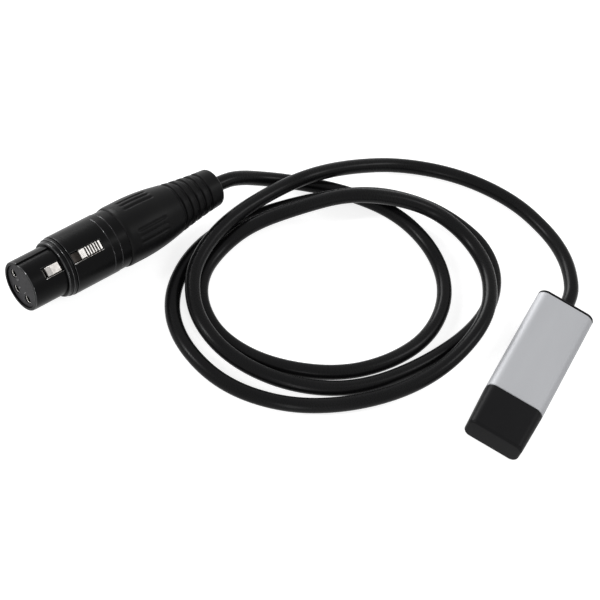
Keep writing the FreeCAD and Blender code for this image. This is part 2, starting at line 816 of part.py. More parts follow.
print("cable length", round(cable_path.Length, 1), "arc radii", [round(radius, 1) for radius in cable_radii])
print("cable's least gap to itself", round(least_gap(cable_path, s.cable_diameter.number), 2))

# The connector's pieces are drawn along +Y from its nose, with the latch at +Z, then turned to
# lie in line with the cable's last run
before_tail, tail = [Vector(*[number_of(value) for value in point]) for point in route[-2:]]
connector_heading = -math.degrees(math.atan2(before_tail.x - tail.x, before_tail.y - tail.y))
connector_turn = (FreeCAD.Rotation(Vector(0, 0, 1), connector_heading)
                  .multiply(FreeCAD.Rotation(Vector(0, 1, 0), latch_roll_angle)))
nose = tail - connector_turn.multVec(Vector(0, s.connector_length.number, 0))
connector_place = FreeCAD.Placement(nose, connector_turn)


def on_connector(piece):
    piece.Placement = connector_place
    parts.append(piece)


# Connector shell: nose, rounded lip, bead, neck and barrel, bored in two steps
ring_seat_end = s.barrel_end + s.ring_length
connector_shell = new_body("connector_shell")
profile = sketch_on(connector_shell, "XY_Plane")
lip_end = s.nose_length + s.lip_length
bead_end = lip_end + s.bead_length
neck_end = bead_end + s.neck_length
draw(profile, [
    (s.nose_bore, 0), (s.nose_radius - s.nose_edge, 0), (s.nose_radius, s.nose_edge),
    (s.nose_radius, s.nose_length), (s.lip_radius, s.nose_length), (s.lip_radius, lip_end),
    (s.bead_radius, lip_end), (s.bead_radius, bead_end), (s.neck_radius, bead_end),
    (s.neck_radius, neck_end), (s.barrel_radius, neck_end),
    (s.barrel_radius, s.barrel_end), (s.ring_seat_radius, s.barrel_end),
    (s.ring_seat_radius, ring_seat_end), (s.barrel_bore, ring_seat_end),
    (s.barrel_bore, s.barrel_bore_start), (s.nose_bore, s.barrel_bore_start),
])
spin(connector_shell, profile)
soften(connector_shell, ring_edges(connector_shell, s.lip_radius, s.nose_length), s.lip_edge)
soften(connector_shell, ring_edges(connector_shell, s.bead_radius, lip_end), s.bead_edge)
soften(connector_shell, ring_edges(connector_shell, s.barrel_radius, neck_end)
       + ring_edges(connector_shell, s.barrel_radius, s.barrel_end), s.barrel_edge)
window_half = s.latch_width / 2 + s.window_gap
windows = sketch_on(connector_shell, "XY_Plane", s.slot_floor)
draw_box(windows, -window_half, window_half, s.hook_window_start, s.nose_length)
draw_box(windows, -window_half, window_half, s.button_window_start, s.button_window_end)
cut(connector_shell, windows, s.barrel_radius, backwards=True)
key = connector_shell.newObject("PartDesign::SubtractiveBox", "KeyGroove")
bind(key, "Length", s.key_width)
bind(key, "Width", s.nose_length)
bind(key, "Height", s.key_depth * 2)
key_turn = FreeCAD.Rotation(Vector(0, 1, 0), key_angle)
corner = key_turn.multVec(Vector(-s.key_width.number / 2, 0, (s.nose_radius - s.key_depth).number))
key.Placement = FreeCAD.Placement(corner, key_turn)
doc.recompute()
on_connector(connector_shell)

# Marking ring on the shell's rear seat
marking_ring = new_body("marking_ring")
profile = sketch_on(marking_ring, "XY_Plane")
ring_inner = s.ring_seat_radius + s.ring_gap
ring_front, ring_rear = s.barrel_end + s.ring_gap, ring_seat_end - s.ring_gap
ring_shoulder = s.barrel_radius - s.ring_edge
draw(profile, [
    (ring_inner, ring_front), (ring_shoulder, ring_front), (s.barrel_radius, ring_front + s.ring_edge),
    (s.barrel_radius, ring_rear - s.ring_edge), (ring_shoulder, ring_rear), (ring_inner, ring_rear),
])
spin(marking_ring, profile)
on_connector(marking_ring)

# Insert: a stepped core with three contact holes, the latch's slot and its trunnion seats
def connector_places():
    # Two contacts either side and one opposite the latch, all on one pitch circle
    for angle in (contact_angle, -contact_angle):
        turned = math.radians(angle)
        yield s.contact_pitch * math.sin(turned), -(s.contact_pitch * math.cos(turned))
    yield 0, -s.contact_pitch


contact_places = list(connector_places())
connector_insert = new_body("connector_insert")
profile = sketch_on(connector_insert, "XY_Plane")
front_radius, rear_radius = s.nose_bore - s.insert_gap, s.barrel_bore - s.insert_gap
shoulder = s.barrel_bore_start + s.insert_gap
draw(profile, [
    (0, s.insert_recess), (front_radius, s.insert_recess), (front_radius, shoulder),
    (rear_radius, shoulder), (rear_radius, s.insert_end), (0, s.insert_end),
])
spin(connector_insert, profile)
contact_front = s.insert_recess + s.contact_setback
holes = sketch_on(connector_insert, "XZ_Plane", contact_front)
mouths = sketch_on(connector_insert, "XZ_Plane", s.insert_recess)
for x, z in contact_places:
    draw_circle(holes, x, z, s.contact_radius + s.contact_seat_gap)
    draw_circle(mouths, x, z, s.contact_mouth)
cut(connector_insert, holes, s.insert_end)
cut(connector_insert, mouths, s.contact_setback)
slot_half = s.latch_width / 2 + s.slot_gap
slot = sketch_on(connector_insert, "XY_Plane", s.slot_floor)
draw_box(slot, -slot_half, slot_half, s.insert_recess + s.insert_disc, s.insert_end + s.insert_recess)
cut(connector_insert, slot, s.barrel_radius, backwards=True)
seat_radius = s.pivot_radius + s.pivot_gap
trunnion_tip = slot_half + s.trunnion_length
seat_half = trunnion_tip + s.window_gap
seat_mouth = sketch_on(connector_insert, "XY_Plane", s.pivot_z)
draw_box(seat_mouth, -seat_half, seat_half, s.pivot_y - seat_radius, s.pivot_y + seat_radius)
cut(connector_insert, seat_mouth, s.barrel_radius, backwards=True)
seat = sketch_on(connector_insert, "YZ_Plane")
draw_circle(seat, s.pivot_y, s.pivot_z, seat_radius)
cut(connector_insert, seat, seat_half * 2, "Symmetric")
on_connector(connector_insert)

# Contacts: turned sockets, slit along the mouth, with a solder cup behind.
# Each shoulder stops against the insert's front wall, and its turned-down nose stands in the hole there.
contact_shoulder = contact_front + s.contact_seat_gap
socket_front = contact_front - s.contact_nose
nose_radius = s.contact_mouth - s.contact_seat_gap
cup_end = s.insert_end + s.cup_length
for number, (x, z) in enumerate(contact_places, start=1):
    contact = new_body(f"contact_{number}")
    profile = sketch_on(contact, "XY_Plane")
    draw(profile, [
        (s.contact_bore, socket_front), (nose_radius, socket_front), (nose_radius, contact_shoulder),
        (s.contact_radius, contact_shoulder),
        (s.contact_radius, s.insert_end), (s.cup_radius, s.insert_end), (s.cup_radius, cup_end),
        (s.cup_bore, cup_end), (s.cup_bore, cup_end - s.cup_depth), (0, cup_end - s.cup_depth),
        (0, socket_front + s.contact_depth), (s.contact_bore, socket_front + s.contact_depth),
    ])
    spin(contact, profile)
    slit = sketch_on(contact, "XY_Plane")
    slit_half = s.contact_slit / 2
    draw_box(slit, -slit_half, slit_half, s.insert_recess, socket_front + s.contact_slit_length)
    cut(contact, slit, s.contact_radius * 2, backwards=True)
    on_connector(contact)
    offset = Vector(number_of(x), 0, number_of(z))
    contact.Placement = connector_place.multiply(FreeCAD.Placement(offset, FreeCAD.Rotation()))

# Latch lever: one side outline from the hook to the pivot, trunnions, and ribs across the button
latch_lever = new_body("latch_lever")
outline = sketch_on(latch_lever, "YZ_Plane")
lever_end = s.pivot_y + s.pivot_radius
draw(outline, [
    (s.hook_front, s.arm_under), (lever_end, s.arm_under), (lever_end, s.arm_top),
    (s.button_back, s.arm_top), (s.button_back, s.button_height), (s.button_front, s.button_height),
    (s.button_front, s.step_height), (s.step_front, s.step_height), (s.step_front, s.arm_top),
    (s.hook_end, s.arm_top), (s.hook_end, s.hook_back_height), (s.hook_back, s.hook_height),
    (s.hook_ramp, s.hook_height, s.hook_crown), (s.hook_front, s.arm_top),
])
grow(latch_lever, outline, s.latch_width, "Symmetric")
# The step's own edges stay sharp, and the rounding leaves part of the rise behind it flat
lever_edge = smaller(s.button_edge, (s.button_height - s.step_height) * arc_share)
soften(latch_lever, edges_where(latch_lever, lambda edge: all(
    vertex.Point.z > s.hook_height.number - near
    and abs(vertex.Point.z - s.step_height.number) > near for vertex in edge.Vertexes)), lever_edge)
trunnions = sketch_on(latch_lever, "YZ_Plane")
draw_circle(trunnions, s.pivot_y, s.pivot_z, s.pivot_radius)
grow(latch_lever, trunnions, trunnion_tip * 2, "Symmetric")
groove = sketch_on(latch_lever, "YZ_Plane")
draw_box(groove, s.rib_start, s.rib_start + s.rib_width, s.button_height - s.rib_depth,
         s.button_height + s.rib_depth)
rib = cut(latch_lever, groove, s.latch_width * 2, "Symmetric")
pattern(latch_lever, "LinearPattern", [rib], groove, "H_Axis", button_rib_count,
        Length=s.rib_pitch * (button_rib_count - 1))
on_connector(latch_lever)

# Latch spring: a leaf with its foot on the slot's floor and its tip under the lever's arm
latch_spring = new_body("latch_spring")
outline = sketch_on(latch_spring, "YZ_Plane")
spring_top = s.arm_under - s.spring_gap
leaf_top = s.slot_floor + s.spring_thickness
lip_y, lip_top = s.spring_tip - s.spring_lip, spring_top - s.spring_lip / 2
draw(outline, [
    (s.spring_bend, s.slot_floor), (s.spring_foot, s.slot_floor), (s.spring_foot, leaf_top),
    (s.spring_bend, leaf_top), (s.spring_tip, spring_top), (lip_y, lip_top),
    (lip_y, lip_top - s.spring_thickness), (s.spring_tip, spring_top - s.spring_thickness),
])
grow(latch_spring, outline, s.spring_width, "Symmetric")
on_connector(latch_spring)

# Bushing: threads into the shell, shows as a collar and carries the boot
boot_bushing = new_body("boot_bushing")
profile = sketch_on(boot_bushing, "XY_Plane")
collar_start = ring_seat_end + s.ring_gap
draw(profile, [
    (s.bushing_bore, s.bushing_start), (s.bushing_thread, s.bushing_start),
    (s.bushing_thread, collar_start), (s.collar_radius, collar_start),
    (s.collar_radius, s.collar_end), (s.bushing_core, s.collar_end),
    (s.bushing_core, s.bushing_shoulder), (s.bushing_tip_radius, s.bushing_end),
    (s.bushing_hole, s.bushing_end), (s.bushing_hole, s.bushing_throat),
    (s.throat_radius, s.bushing_throat), (s.bushing_bore, s.bushing_taper),
])
spin(boot_bushing, profile)
soften(boot_bushing, ring_edges(boot_bushing, s.collar_radius, collar_start)
       + ring_edges(boot_bushing, s.collar_radius, s.collar_end), s.ring_edge, "Chamfer")
on_connector(boot_bushing)

# Chuck: a tapered clamp round the cable, slit into jaws at its narrow end
cable_chuck = new_body("cable_chuck")
profile = sketch_on(cable_chuck, "XY_Plane")
grip = s.cable_diameter / 2 + s.cable_gap
chuck_radius = s.bushing_bore - s.chuck_gap
chuck_end = s.bushing_throat - s.chuck_gap
draw(profile, [
    (grip, s.chuck_start), (chuck_radius - s.chuck_edge, s.chuck_start),
    (chuck_radius, s.chuck_start + s.chuck_edge), (chuck_radius, s.bushing_taper - s.chuck_gap),
    (s.throat_radius - s.chuck_gap, chuck_end), (grip, chuck_end),
])
spin(cable_chuck, profile)
slit = sketch_on(cable_chuck, "XY_Plane")
draw_box(slit, -(s.chuck_slit / 2), s.chuck_slit / 2, chuck_end - s.chuck_slit_length,
         chuck_end + s.chuck_edge)
jaw = cut(cable_chuck, slit, s.bushing_bore, backwards=True)
pattern(cable_chuck, "PolarPattern", [jaw], slit, "V_Axis", chuck_slits, Angle=360)
on_connector(cable_chuck)

# Boot: full at the mouth, a bulge into a waist, then a slow flare to the rounded tail
cable_boot = new_body("cable_boot")
profile = sketch_on(cable_boot, "XY_Plane")
boot_start = s.collar_end + s.boot_gap
boot_core = s.bushing_core + s.boot_gap
bulge_drop = s.boot_radius - s.boot_waist_radius
bulge_run = s.boot_waist_y - s.boot_bulge_start
bulge_radius = (bulge_drop * bulge_drop + bulge_run * bulge_run) / (bulge_drop * 2)
tail_y = s.connector_length - s.boot_tail_edge
draw(profile, [
    (boot_core, boot_start), (s.boot_mouth_radius, boot_start),
    (s.boot_radius, boot_start + s.boot_mouth), (s.boot_radius, s.boot_bulge_start),
    (s.boot_waist_radius, s.boot_waist_y, bulge_radius), (s.boot_tail_radius, tail_y, -s.boot_flare),
    (s.boot_tail_radius - s.boot_tail_edge, s.connector_length, s.boot_tail_edge),
    (grip, s.connector_length), (grip, s.bushing_end + s.boot_gap),
    (s.bushing_tip_radius + s.boot_gap, s.bushing_end + s.boot_gap), (boot_core, s.bushing_shoulder),
])
spin(cable_boot, profile)
# Rib grooves follow the flare: the chord from waist to tail, less the arc's sag
flare_drop = s.boot_tail_radius - s.boot_waist_radius
flare_run = tail_y - s.boot_waist_y
flare_sag = (flare_drop * flare_drop + flare_run * flare_run) / (s.boot_flare * 8)
rib_grooves = sketch_on(cable_boot, "XY_Plane")
for index in range(rib_groove_count):
    y = s.rib_groove_start + s.rib_groove_pitch * index
    share = (y - s.boot_waist_y) / flare_run
    surface = s.boot_waist_radius + flare_drop * share + flare_sag * share * (share - 1) * 4
    floor, open_end = surface - s.rib_groove_depth, surface + s.rib_groove_depth
    floor_half = s.rib_groove_floor / 2
    open_half = s.rib_groove_top - floor_half
    draw(rib_grooves, [
        (floor, y - floor_half), (open_end, y - open_half), (open_end, y + open_half),
        (floor, y + floor_half),
    ])
spin(cable_boot, rib_grooves, "Groove")
flutes = []
flute_tilt = math.degrees(math.asin((s.flute_drop / s.flute_length).number))
for index in range(flutes_in_group):
    turn = flute_group_angle + flute_step_angle * (index - (flutes_in_group - 1) / 2)
    flute = cable_boot.newObject("PartDesign::SubtractiveCylinder", "Flute")
    bind(flute, "Radius", s.flute_radius)
    bind(flute, "Height", s.flute_length)
    around = FreeCAD.Rotation(Vector(0, 1, 0), turn)
    height = s.boot_radius + s.flute_radius - s.flute_depth
    start = around.multVec(Vector(0, s.flute_start.number, height.number))
    lean = FreeCAD.Rotation(Vector(1, 0, 0), -90 - flute_tilt)
    flute.Placement = FreeCAD.Placement(start, around.multiply(lean))
    doc.recompute()
    flutes.append(flute)
pattern(cable_boot, "PolarPattern", flutes, profile, "V_Axis", flute_groups, Angle=360)
on_connector(cable_boot)

# Cable end inside the connector, and its cores, each ending in a solder cup
jacket_end = s.connector_length - s.connector_tail
cable_end_in_connector = new_body("cable_end_in_connector")
section = sketch_on(cable_end_in_connector, "XZ_Plane", jacket_end)
draw_circle(section, 0, 0, s.cable_diameter / 2)
grow(cable_end_in_connector, section, s.connector_tail, backwards=True)
on_connector(cable_end_in_connector)
for label, (x, z) in zip(("connector_wire_ground", "connector_wire_minus", "connector_wire_plus"),
                         contact_places):
    core_x = s.core_spread * (number_of(x) / s.contact_pitch.number)
    core_z = s.core_spread * (number_of(z) / s.contact_pitch.number)
    wire = tube(label, [
        (core_x, jacket_end, core_z), (core_x, jacket_end - s.core_lead, core_z),
        (x, cup_end + s.core_lead, z), (x, cup_end - s.cup_depth + s.core_rise, z),
    ], s.core_diameter)[0]
    on_connector(wire)

# Everything is checked before any file is written
doc.recompute()
for thing in doc.Objects:
    if {"Invalid", "Error"} & set(thing.State):
        raise ValueError(f"{thing.Label} failed: {thing.State}")
for piece in parts:
    if piece.Shape.isNull() or not piece.Shape.isValid():
        raise ValueError(f"{piece.Label}: no valid shape")
os.makedirs("parts", exist_ok=True)
for piece in parts:
    piece.Shape.exportStep(f"parts/{piece.Label}.step")
print(len(parts), "pieces written")
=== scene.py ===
import bmesh
import bpy
import math
from mathutils import Matrix, Vector


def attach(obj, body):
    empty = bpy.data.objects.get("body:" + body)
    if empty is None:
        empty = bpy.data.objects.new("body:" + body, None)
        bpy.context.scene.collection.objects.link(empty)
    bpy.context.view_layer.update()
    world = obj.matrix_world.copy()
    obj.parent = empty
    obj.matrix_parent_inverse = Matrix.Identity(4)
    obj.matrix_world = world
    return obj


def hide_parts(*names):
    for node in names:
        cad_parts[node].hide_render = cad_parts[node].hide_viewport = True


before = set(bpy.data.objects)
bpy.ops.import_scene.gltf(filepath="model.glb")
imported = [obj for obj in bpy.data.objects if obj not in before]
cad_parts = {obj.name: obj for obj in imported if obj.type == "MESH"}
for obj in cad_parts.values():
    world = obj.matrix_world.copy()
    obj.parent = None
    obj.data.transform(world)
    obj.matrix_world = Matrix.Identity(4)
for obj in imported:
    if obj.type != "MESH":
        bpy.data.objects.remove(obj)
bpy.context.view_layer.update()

mm = 0.001  # pieces are drawn in millimetres and placed in metres
near = 1e-4  # millimetres; points this close count as one
white = (1, 1, 1, 1)


# Materials

texture = {
    "toneFrom": 0.3, "toneTo": 0.7, "driftDetail": 3, "grainDetail": 2, "bump": 0.3, "coatRoughness": 0.2,
}


def newMaterial(name):
    material = bpy.data.materials.new(name)
    material.use_nodes = True
    return material, material.node_tree.nodes, material.node_tree.links


def grainOn(nodes, links, scale, detail, stretch):
    place = nodes.new("ShaderNodeTexCoord")
    spread = nodes.new("ShaderNodeMapping")
    spread.inputs["Scale"].default_value = stretch
    noise = nodes.new("ShaderNodeTexNoise")
    noise.inputs["Scale"].default_value = scale
    noise.inputs["Detail"].default_value = detail
    links.new(place.outputs["Object"], spread.inputs["Vector"])
    links.new(spread.outputs["Vector"], noise.inputs["Vector"])
    return noise


def between(nodes, links, value, low, high):
    # Noise keeps to its middle values, so only those are spread from low to high
    ramp = nodes.new("ShaderNodeMapRange")
    ramp.inputs["From Min"].default_value = texture["toneFrom"]
    ramp.inputs["From Max"].default_value = texture["toneTo"]
    ramp.inputs["To Min"].default_value = low
    ramp.inputs["To Max"].default_value = high
    links.new(value, ramp.inputs["Value"])
    return ramp.outputs["Result"]


def finish(name, look):
    # Colour drifts between two tones, roughness drifts too, and a fine grain lifts the surface
    material, nodes, links = newMaterial(name)
    surface = nodes["Principled BSDF"]
    surface.inputs["Metallic"].default_value = look.get("metal", 0)
    surface.inputs["Specular IOR Level"].default_value = look.get("gloss", 0.5)
    surface.inputs["IOR"].default_value = look.get("ior", 1.45)
    surface.inputs["Coat Weight"].default_value = look.get("coat", 0)
    surface.inputs["Coat Roughness"].default_value = texture["coatRoughness"]
    stretch = look.get("stretch", (1, 1, 1))
    drift = grainOn(nodes, links, look["driftScale"], texture["driftDetail"], stretch)
    tones = nodes.new("ShaderNodeMix")
    tones.data_type = "RGBA"
    tones.inputs["A"].default_value = (*look["dark"], 1)
    tones.inputs["B"].default_value = (*look["light"], 1)
    links.new(between(nodes, links, drift.outputs["Fac"], 0, 1), tones.inputs["Factor"])
    links.new(tones.outputs["Result"], surface.inputs["Base Color"])
    grain = grainOn(nodes, links, look["grainScale"], texture["grainDetail"], stretch)
    rough = between(nodes, links, grain.outputs["Fac"], *look["roughness"])
    links.new(rough, surface.inputs["Roughness"])
    bump = nodes.new("ShaderNodeBump")
    bump.inputs["Strength"].default_value = texture["bump"]
    bump.inputs["Distance"].default_value = look["grainDepth"] * mm
    links.new(grain.outputs["Fac"], bump.inputs["Height"])
    links.new(bump.outputs["Normal"], surface.inputs["Normal"])
    return material


looks = {
    "anodisedAluminium": {
        "dark": (0.35, 0.355, 0.37), "light": (0.39, 0.395, 0.41), "metal": 0.45, "roughness": (0.54, 0.62),
        "driftScale": 60, "grainScale": 9000, "grainDepth": 0.012, "stretch": (1, 0.25, 1),
    },
    "caseMoulding": {
        "dark": (0.0045, 0.0045, 0.005), "light": (0.006, 0.006, 0.0065),
        "gloss": 0.09, "roughness": (0.40, 0.50),
        "driftScale": 80, "grainScale": 7000, "grainDepth": 0.015,
    },
    "cableJacket": {
        "dark": (0.004, 0.004, 0.0043), "light": (0.006, 0.006, 0.0063),
        "gloss": 0.1, "roughness": (0.24, 0.32),
        "driftScale": 55, "grainScale": 2600, "grainDepth": 0.012,
    },
    "bootRubber": {
        "dark": (0.003, 0.003, 0.0032), "light": (0.0045, 0.0045, 0.0047),
        "gloss": 0.32, "ior": 1.22, "roughness": (0.36, 0.46),
        "driftScale": 70, "grainScale": 5200, "grainDepth": 0.018,
    },
    "shellCoating": {
        "dark": (0.0025, 0.0025, 0.0027), "light": (0.0035, 0.0035, 0.0037),
        "gloss": 0.25, "ior": 1.22, "roughness": (0.26, 0.34),
        "driftScale": 60, "grainScale": 6000, "grainDepth": 0.008,
    },
    # Painted highlight for rounded edges: lighter and glossier than the coat beside them
    "shellEdgeHighlight": {
        "dark": (0.014, 0.014, 0.0145), "light": (0.05, 0.05, 0.052),
        "metal": 0.5, "roughness": (0.14, 0.22),
        "driftScale": 260, "grainScale": 6000, "grainDepth": 0.006,
    },
    "ringMoulding": {
        "dark": (0.0025, 0.0025, 0.0027), "light": (0.0035, 0.0035, 0.0037),
        "gloss": 0.25, "ior": 1.22, "roughness": (0.28, 0.36),
        "driftScale": 70, "grainScale": 6000, "grainDepth": 0.008,
    },
    "insertMoulding": {
        "dark": (0.022, 0.0215, 0.023), "light": (0.030, 0.0295, 0.031),
        "gloss": 0.12, "roughness": (0.5, 0.6),
        "driftScale": 300, "grainScale": 9000, "grainDepth": 0.012,
    },
    "latchNickel": {
        "dark": (0.40, 0.385, 0.37), "light": (0.56, 0.545, 0.525), "metal": 1, "roughness": (0.20, 0.30),
        "driftScale": 420, "grainScale": 8000, "grainDepth": 0.006,
    },
    # Painted shade for the lever's rib gaps and its step
    "latchPaintedShade": {
        "dark": (0.02, 0.017, 0.015), "light": (0.05, 0.043, 0.038),
        "metal": 0.8, "roughness": (0.40, 0.52),
        "driftScale": 500, "grainScale": 8000, "grainDepth": 0.006,
    },
    # Painted shade for the hook's top behind its ramp, with a mottled tone
    "latchHookMottledShade": {
        "dark": (0.30, 0.285, 0.27), "light": (0.50, 0.478, 0.455), "metal": 1, "roughness": (0.26, 0.36),
        "driftScale": 800, "grainScale": 8000, "grainDepth": 0.006,
    },
    # Painted highlight for window edges: bright metal where they catch the light
    "windowEdgeHighlight": {
        "dark": (0.48, 0.47, 0.46), "light": (0.70, 0.69, 0.68), "metal": 1, "roughness": (0.24, 0.34),
        "driftScale": 600, "grainScale": 8000, "grainDepth": 0.006,
    },
    # Painted shade: the contacts are made near black so that their holes read dark
    "contactPaintedShade": {
        "dark": (0.02, 0.019, 0.018), "light": (0.035, 0.033, 0.031), "metal": 1, "roughness": (0.4, 0.5),
        "driftScale": 400, "grainScale": 8000, "grainDepth": 0.004,
    },
    "platedSteel": {
        "dark": (0.60, 0.60, 0.60), "light": (0.70, 0.70, 0.70), "metal": 1, "roughness": (0.18, 0.3),
        "driftScale": 200, "grainScale": 6000, "grainDepth": 0.005, "stretch": (1, 0.1, 1),
    },
    "springSteel": {
        "dark": (0.40, 0.40, 0.42), "light": (0.48, 0.48, 0.50), "metal": 1, "roughness": (0.25, 0.35),
        "driftScale": 300, "grainScale": 6000, "grainDepth": 0.004,
    },
    "silverPlating": {
        "dark": (0.74, 0.72, 0.68), "light": (0.84, 0.82, 0.78), "metal": 1, "roughness": (0.2, 0.3),
        "driftScale": 400, "grainScale": 8000, "grainDepth": 0.004,
    },
    "insertMark": {
        "dark": (0.16, 0.158, 0.162), "light": (0.20, 0.198, 0.202), "gloss": 0.3, "roughness": (0.4, 0.5),
        "driftScale": 300, "grainScale": 9000, "grainDepth": 0.006,
    },
    "goldPlating": {
        "dark": (0.78, 0.55, 0.22), "light": (0.86, 0.64, 0.30), "metal": 1, "roughness": (0.18, 0.28),
        "driftScale": 400, "grainScale": 8000, "grainDepth": 0.004,
    },
    "tonguePlastic": {
        "dark": (0.70, 0.70, 0.67), "light": (0.76, 0.76, 0.73), "roughness": (0.35, 0.45),
        "driftScale": 200, "grainScale": 6000, "grainDepth": 0.008,
    },
    "boardLaminate": {
        "dark": (0.012, 0.09, 0.03), "light": (0.02, 0.13, 0.045), "coat": 0.5, "roughness": (0.35, 0.45),
        "driftScale": 400, "grainScale": 5000, "grainDepth": 0.01,
    },
    "chipMoulding": {
        "dark": (0.015, 0.015, 0.016), "light": (0.024, 0.024, 0.025), "roughness": (0.5, 0.62),
        "driftScale": 600, "grainScale": 9000, "grainDepth": 0.012,
    },
    "capacitorCeramic": {
        "dark": (0.36, 0.25, 0.15), "light": (0.46, 0.33, 0.20), "roughness": (0.4, 0.5),
        "driftScale": 700, "grainScale": 9000, "grainDepth": 0.006,
    },
    "resistorGlaze": {
        "dark": (0.015, 0.015, 0.016), "light": (0.022, 0.022, 0.024), "coat": 0.6, "roughness": (0.3, 0.4),
        "driftScale": 700, "grainScale": 9000, "grainDepth": 0.004,
    },
    "tieNylon": {
        "dark": (0.56, 0.56, 0.53), "light": (0.64, 0.64, 0.60), "roughness": (0.4, 0.5),
        "driftScale": 200, "grainScale": 5000, "grainDepth": 0.01,
    },
    "chuckAcetal": {
        "dark": (0.30, 0.30, 0.31), "light": (0.36, 0.36, 0.37), "roughness": (0.4, 0.5),
        "driftScale": 200, "grainScale": 6000, "grainDepth": 0.01,
    },
    "wireBlack": {
        "dark": (0.015, 0.015, 0.016), "light": (0.022, 0.022, 0.024), "roughness": (0.35, 0.45),
        "driftScale": 300, "grainScale": 5000, "grainDepth": 0.008,
    },
    "wireWhite": {
        "dark": (0.66, 0.66, 0.64), "light": (0.74, 0.74, 0.72), "roughness": (0.35, 0.45),
        "driftScale": 300, "grainScale": 5000, "grainDepth": 0.008,
    },
    "wireRed": {
        "dark": (0.42, 0.015, 0.015), "light": (0.52, 0.03, 0.025), "roughness": (0.35, 0.45),
        "driftScale": 300, "grainScale": 5000, "grainDepth": 0.008,
    },
}
finishes = {name: finish(name, look) for name, look in looks.items()}
print("materials", len(finishes))

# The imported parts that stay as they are, with their finish
keptParts = {
    "front_bezel": "caseMoulding", "usb_plug_shell": "platedSteel", "usb_tongue": "tonguePlastic",
    "usb_contacts": "goldPlating", "circuit_board": "boardLaminate", "usb_chip": "chipMoulding",
    "line_driver_chip": "chipMoulding", "crystal": "platedSteel", "chip_capacitors": "capacitorCeramic",
    "chip_resistors": "resistorGlaze", "cable_end_in_case": "cableJacket", "cable_tie": "tieNylon",
    "case_wire_ground": "wireBlack", "case_wire_minus": "wireWhite", "case_wire_plus": "wireRed",
    # The contacts take the painted shade that darkens their holes
    "connector_insert": "insertMoulding", "contact_1": "contactPaintedShade", "contact_2": "contactPaintedShade",
    "contact_3": "contactPaintedShade", "latch_spring": "springSteel", "cable_chuck": "chuckAcetal",
    "cable_end_in_connector": "cableJacket", "connector_wire_ground": "wireBlack",
    "connector_wire_minus": "wireWhite", "connector_wire_plus": "wireRed",
    "case_sleeve": "anodisedAluminium", "usb_cap": "caseMoulding", "rear_end_cap": "caseMoulding",
    "cable": "cableJacket", "connector_shell": "shellCoating", "marking_ring": "ringMoulding",
    "latch_lever": "latchNickel", "boot_bushing": "ringMoulding", "cable_boot": "bootRubber",
}
for name, material in keptParts.items():
    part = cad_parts[name]
    if not part.material_slots:
        part.data.materials.append(None)
    for materialSlot in part.material_slots:
        materialSlot.link = "OBJECT"
        materialSlot.material = finishes[material]
print("packed parts", len(keptParts))


# Building blocks

def addPiece(name, points, faces, material, body, replaced, place=Matrix.Identity(4)):
    mesh = bpy.data.meshes.new(name)
    mesh.from_pydata([place @ (Vector(point) * mm) for point in points], [], faces)
    shape = bmesh.new()
    shape.from_mesh(mesh)
    bmesh.ops.recalc_face_normals(shape, faces=shape.faces)
    shape.to_mesh(mesh)
    shape.free()
    mesh.polygons.foreach_set("use_smooth", [True] * len(mesh.polygons))
    piece = bpy.data.objects.new(name, mesh)
    bpy.context.scene.collection.objects.link(piece)
    mesh.materials.append(finishes[material])
    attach(piece, body)
    if replaced:
        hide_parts(*replaced)
    return piece


def roundEdges(piece, width, turn, steps=3):
    bevel = piece.modifiers.new("roundedEdges", "BEVEL")
    bevel.width = width * mm
    bevel.segments = steps
    bevel.limit_method = "ANGLE"
    bevel.angle_limit = math.radians(turn)
    bevel.harden_normals = True


def keepCrisp(piece, turn=35):
    # Edges sharper than this stay crisp, and large flat runs keep their own shading beside small roundings
    piece.data.set_sharp_from_angle(angle=math.radians(turn))
    shading = piece.modifiers.new("evenShading", "WEIGHTED_NORMAL")
    shading.keep_sharp = True
    shading.weight = 100


def softProfile(corners, steps=5):
    # Each corner is (radius, along, rounding); a rounding of zero leaves it sharp
    points = []
    for index, (radius, along, rounding) in enumerate(corners):
        here = Vector((radius, along))
        if not rounding:
            points.append(tuple(here))
            continue
        back = (Vector(corners[index - 1][:2]) - here).normalized()
        onward = (Vector(corners[(index + 1) % len(corners)][:2]) - here).normalized()
        half = back.angle(onward) / 2
        reach = rounding / math.tan(half)
        centre = here + (back + onward).normalized() * (rounding / math.sin(half))
        first, last = (here + way * reach - centre for way in (back, onward))
        for step in range(steps + 1):
            turn = first.normalized().slerp(last.normalized(), step / steps)
            points.append(tuple(centre + turn * rounding))
    return points


def ringFaces(rows, columns, closed=True):
    faces = []
    for row in range(rows if closed else rows - 1):
        following = (row + 1) % rows
        for column in range(columns):
            beside = (column + 1) % columns
            faces.append((row * columns + column, row * columns + beside,
                          following * columns + beside, following * columns + column))
    return faces


def turned(profile, columns):
    # A closed profile turned about the piece's length; the latch's side is at angle zero
    points = [(radius * math.sin(math.tau * column / columns), along,
               radius * math.cos(math.tau * column / columns))
              for radius, along in profile for column in range(columns)]
    return points, ringFaces(len(profile), columns)


def roundedOutline(width, height, corner, base, along, cornerSteps=10):
    # A rounded rectangle across the housing, anticlockwise from its lower right corner
    outline = []
    for quarter, (side, level) in enumerate(((1, -1), (1, 1), (-1, 1), (-1, -1))):
        middleX = side * (width / 2 - corner)
        middleZ = base + height / 2 + level * (height / 2 - corner)
        for step in range(cornerSteps + 1):
            angle = math.radians(90 * quarter - 90 + 90 * step / cornerSteps)
            outline.append((middleX + corner * math.cos(angle), along, middleZ + corner * math.sin(angle)))
    return outline


# The housing: a silver sleeve, the cap over the plug and the end cap behind

housing = {
    "width": 19.5, "height": 8.6, "corner": 3.0, "wall": 1.2, "front": -13.4, "rear": 28.2, "edge": 0.3,
    "bevel": 0.05, "bevelTurn": 25,
}


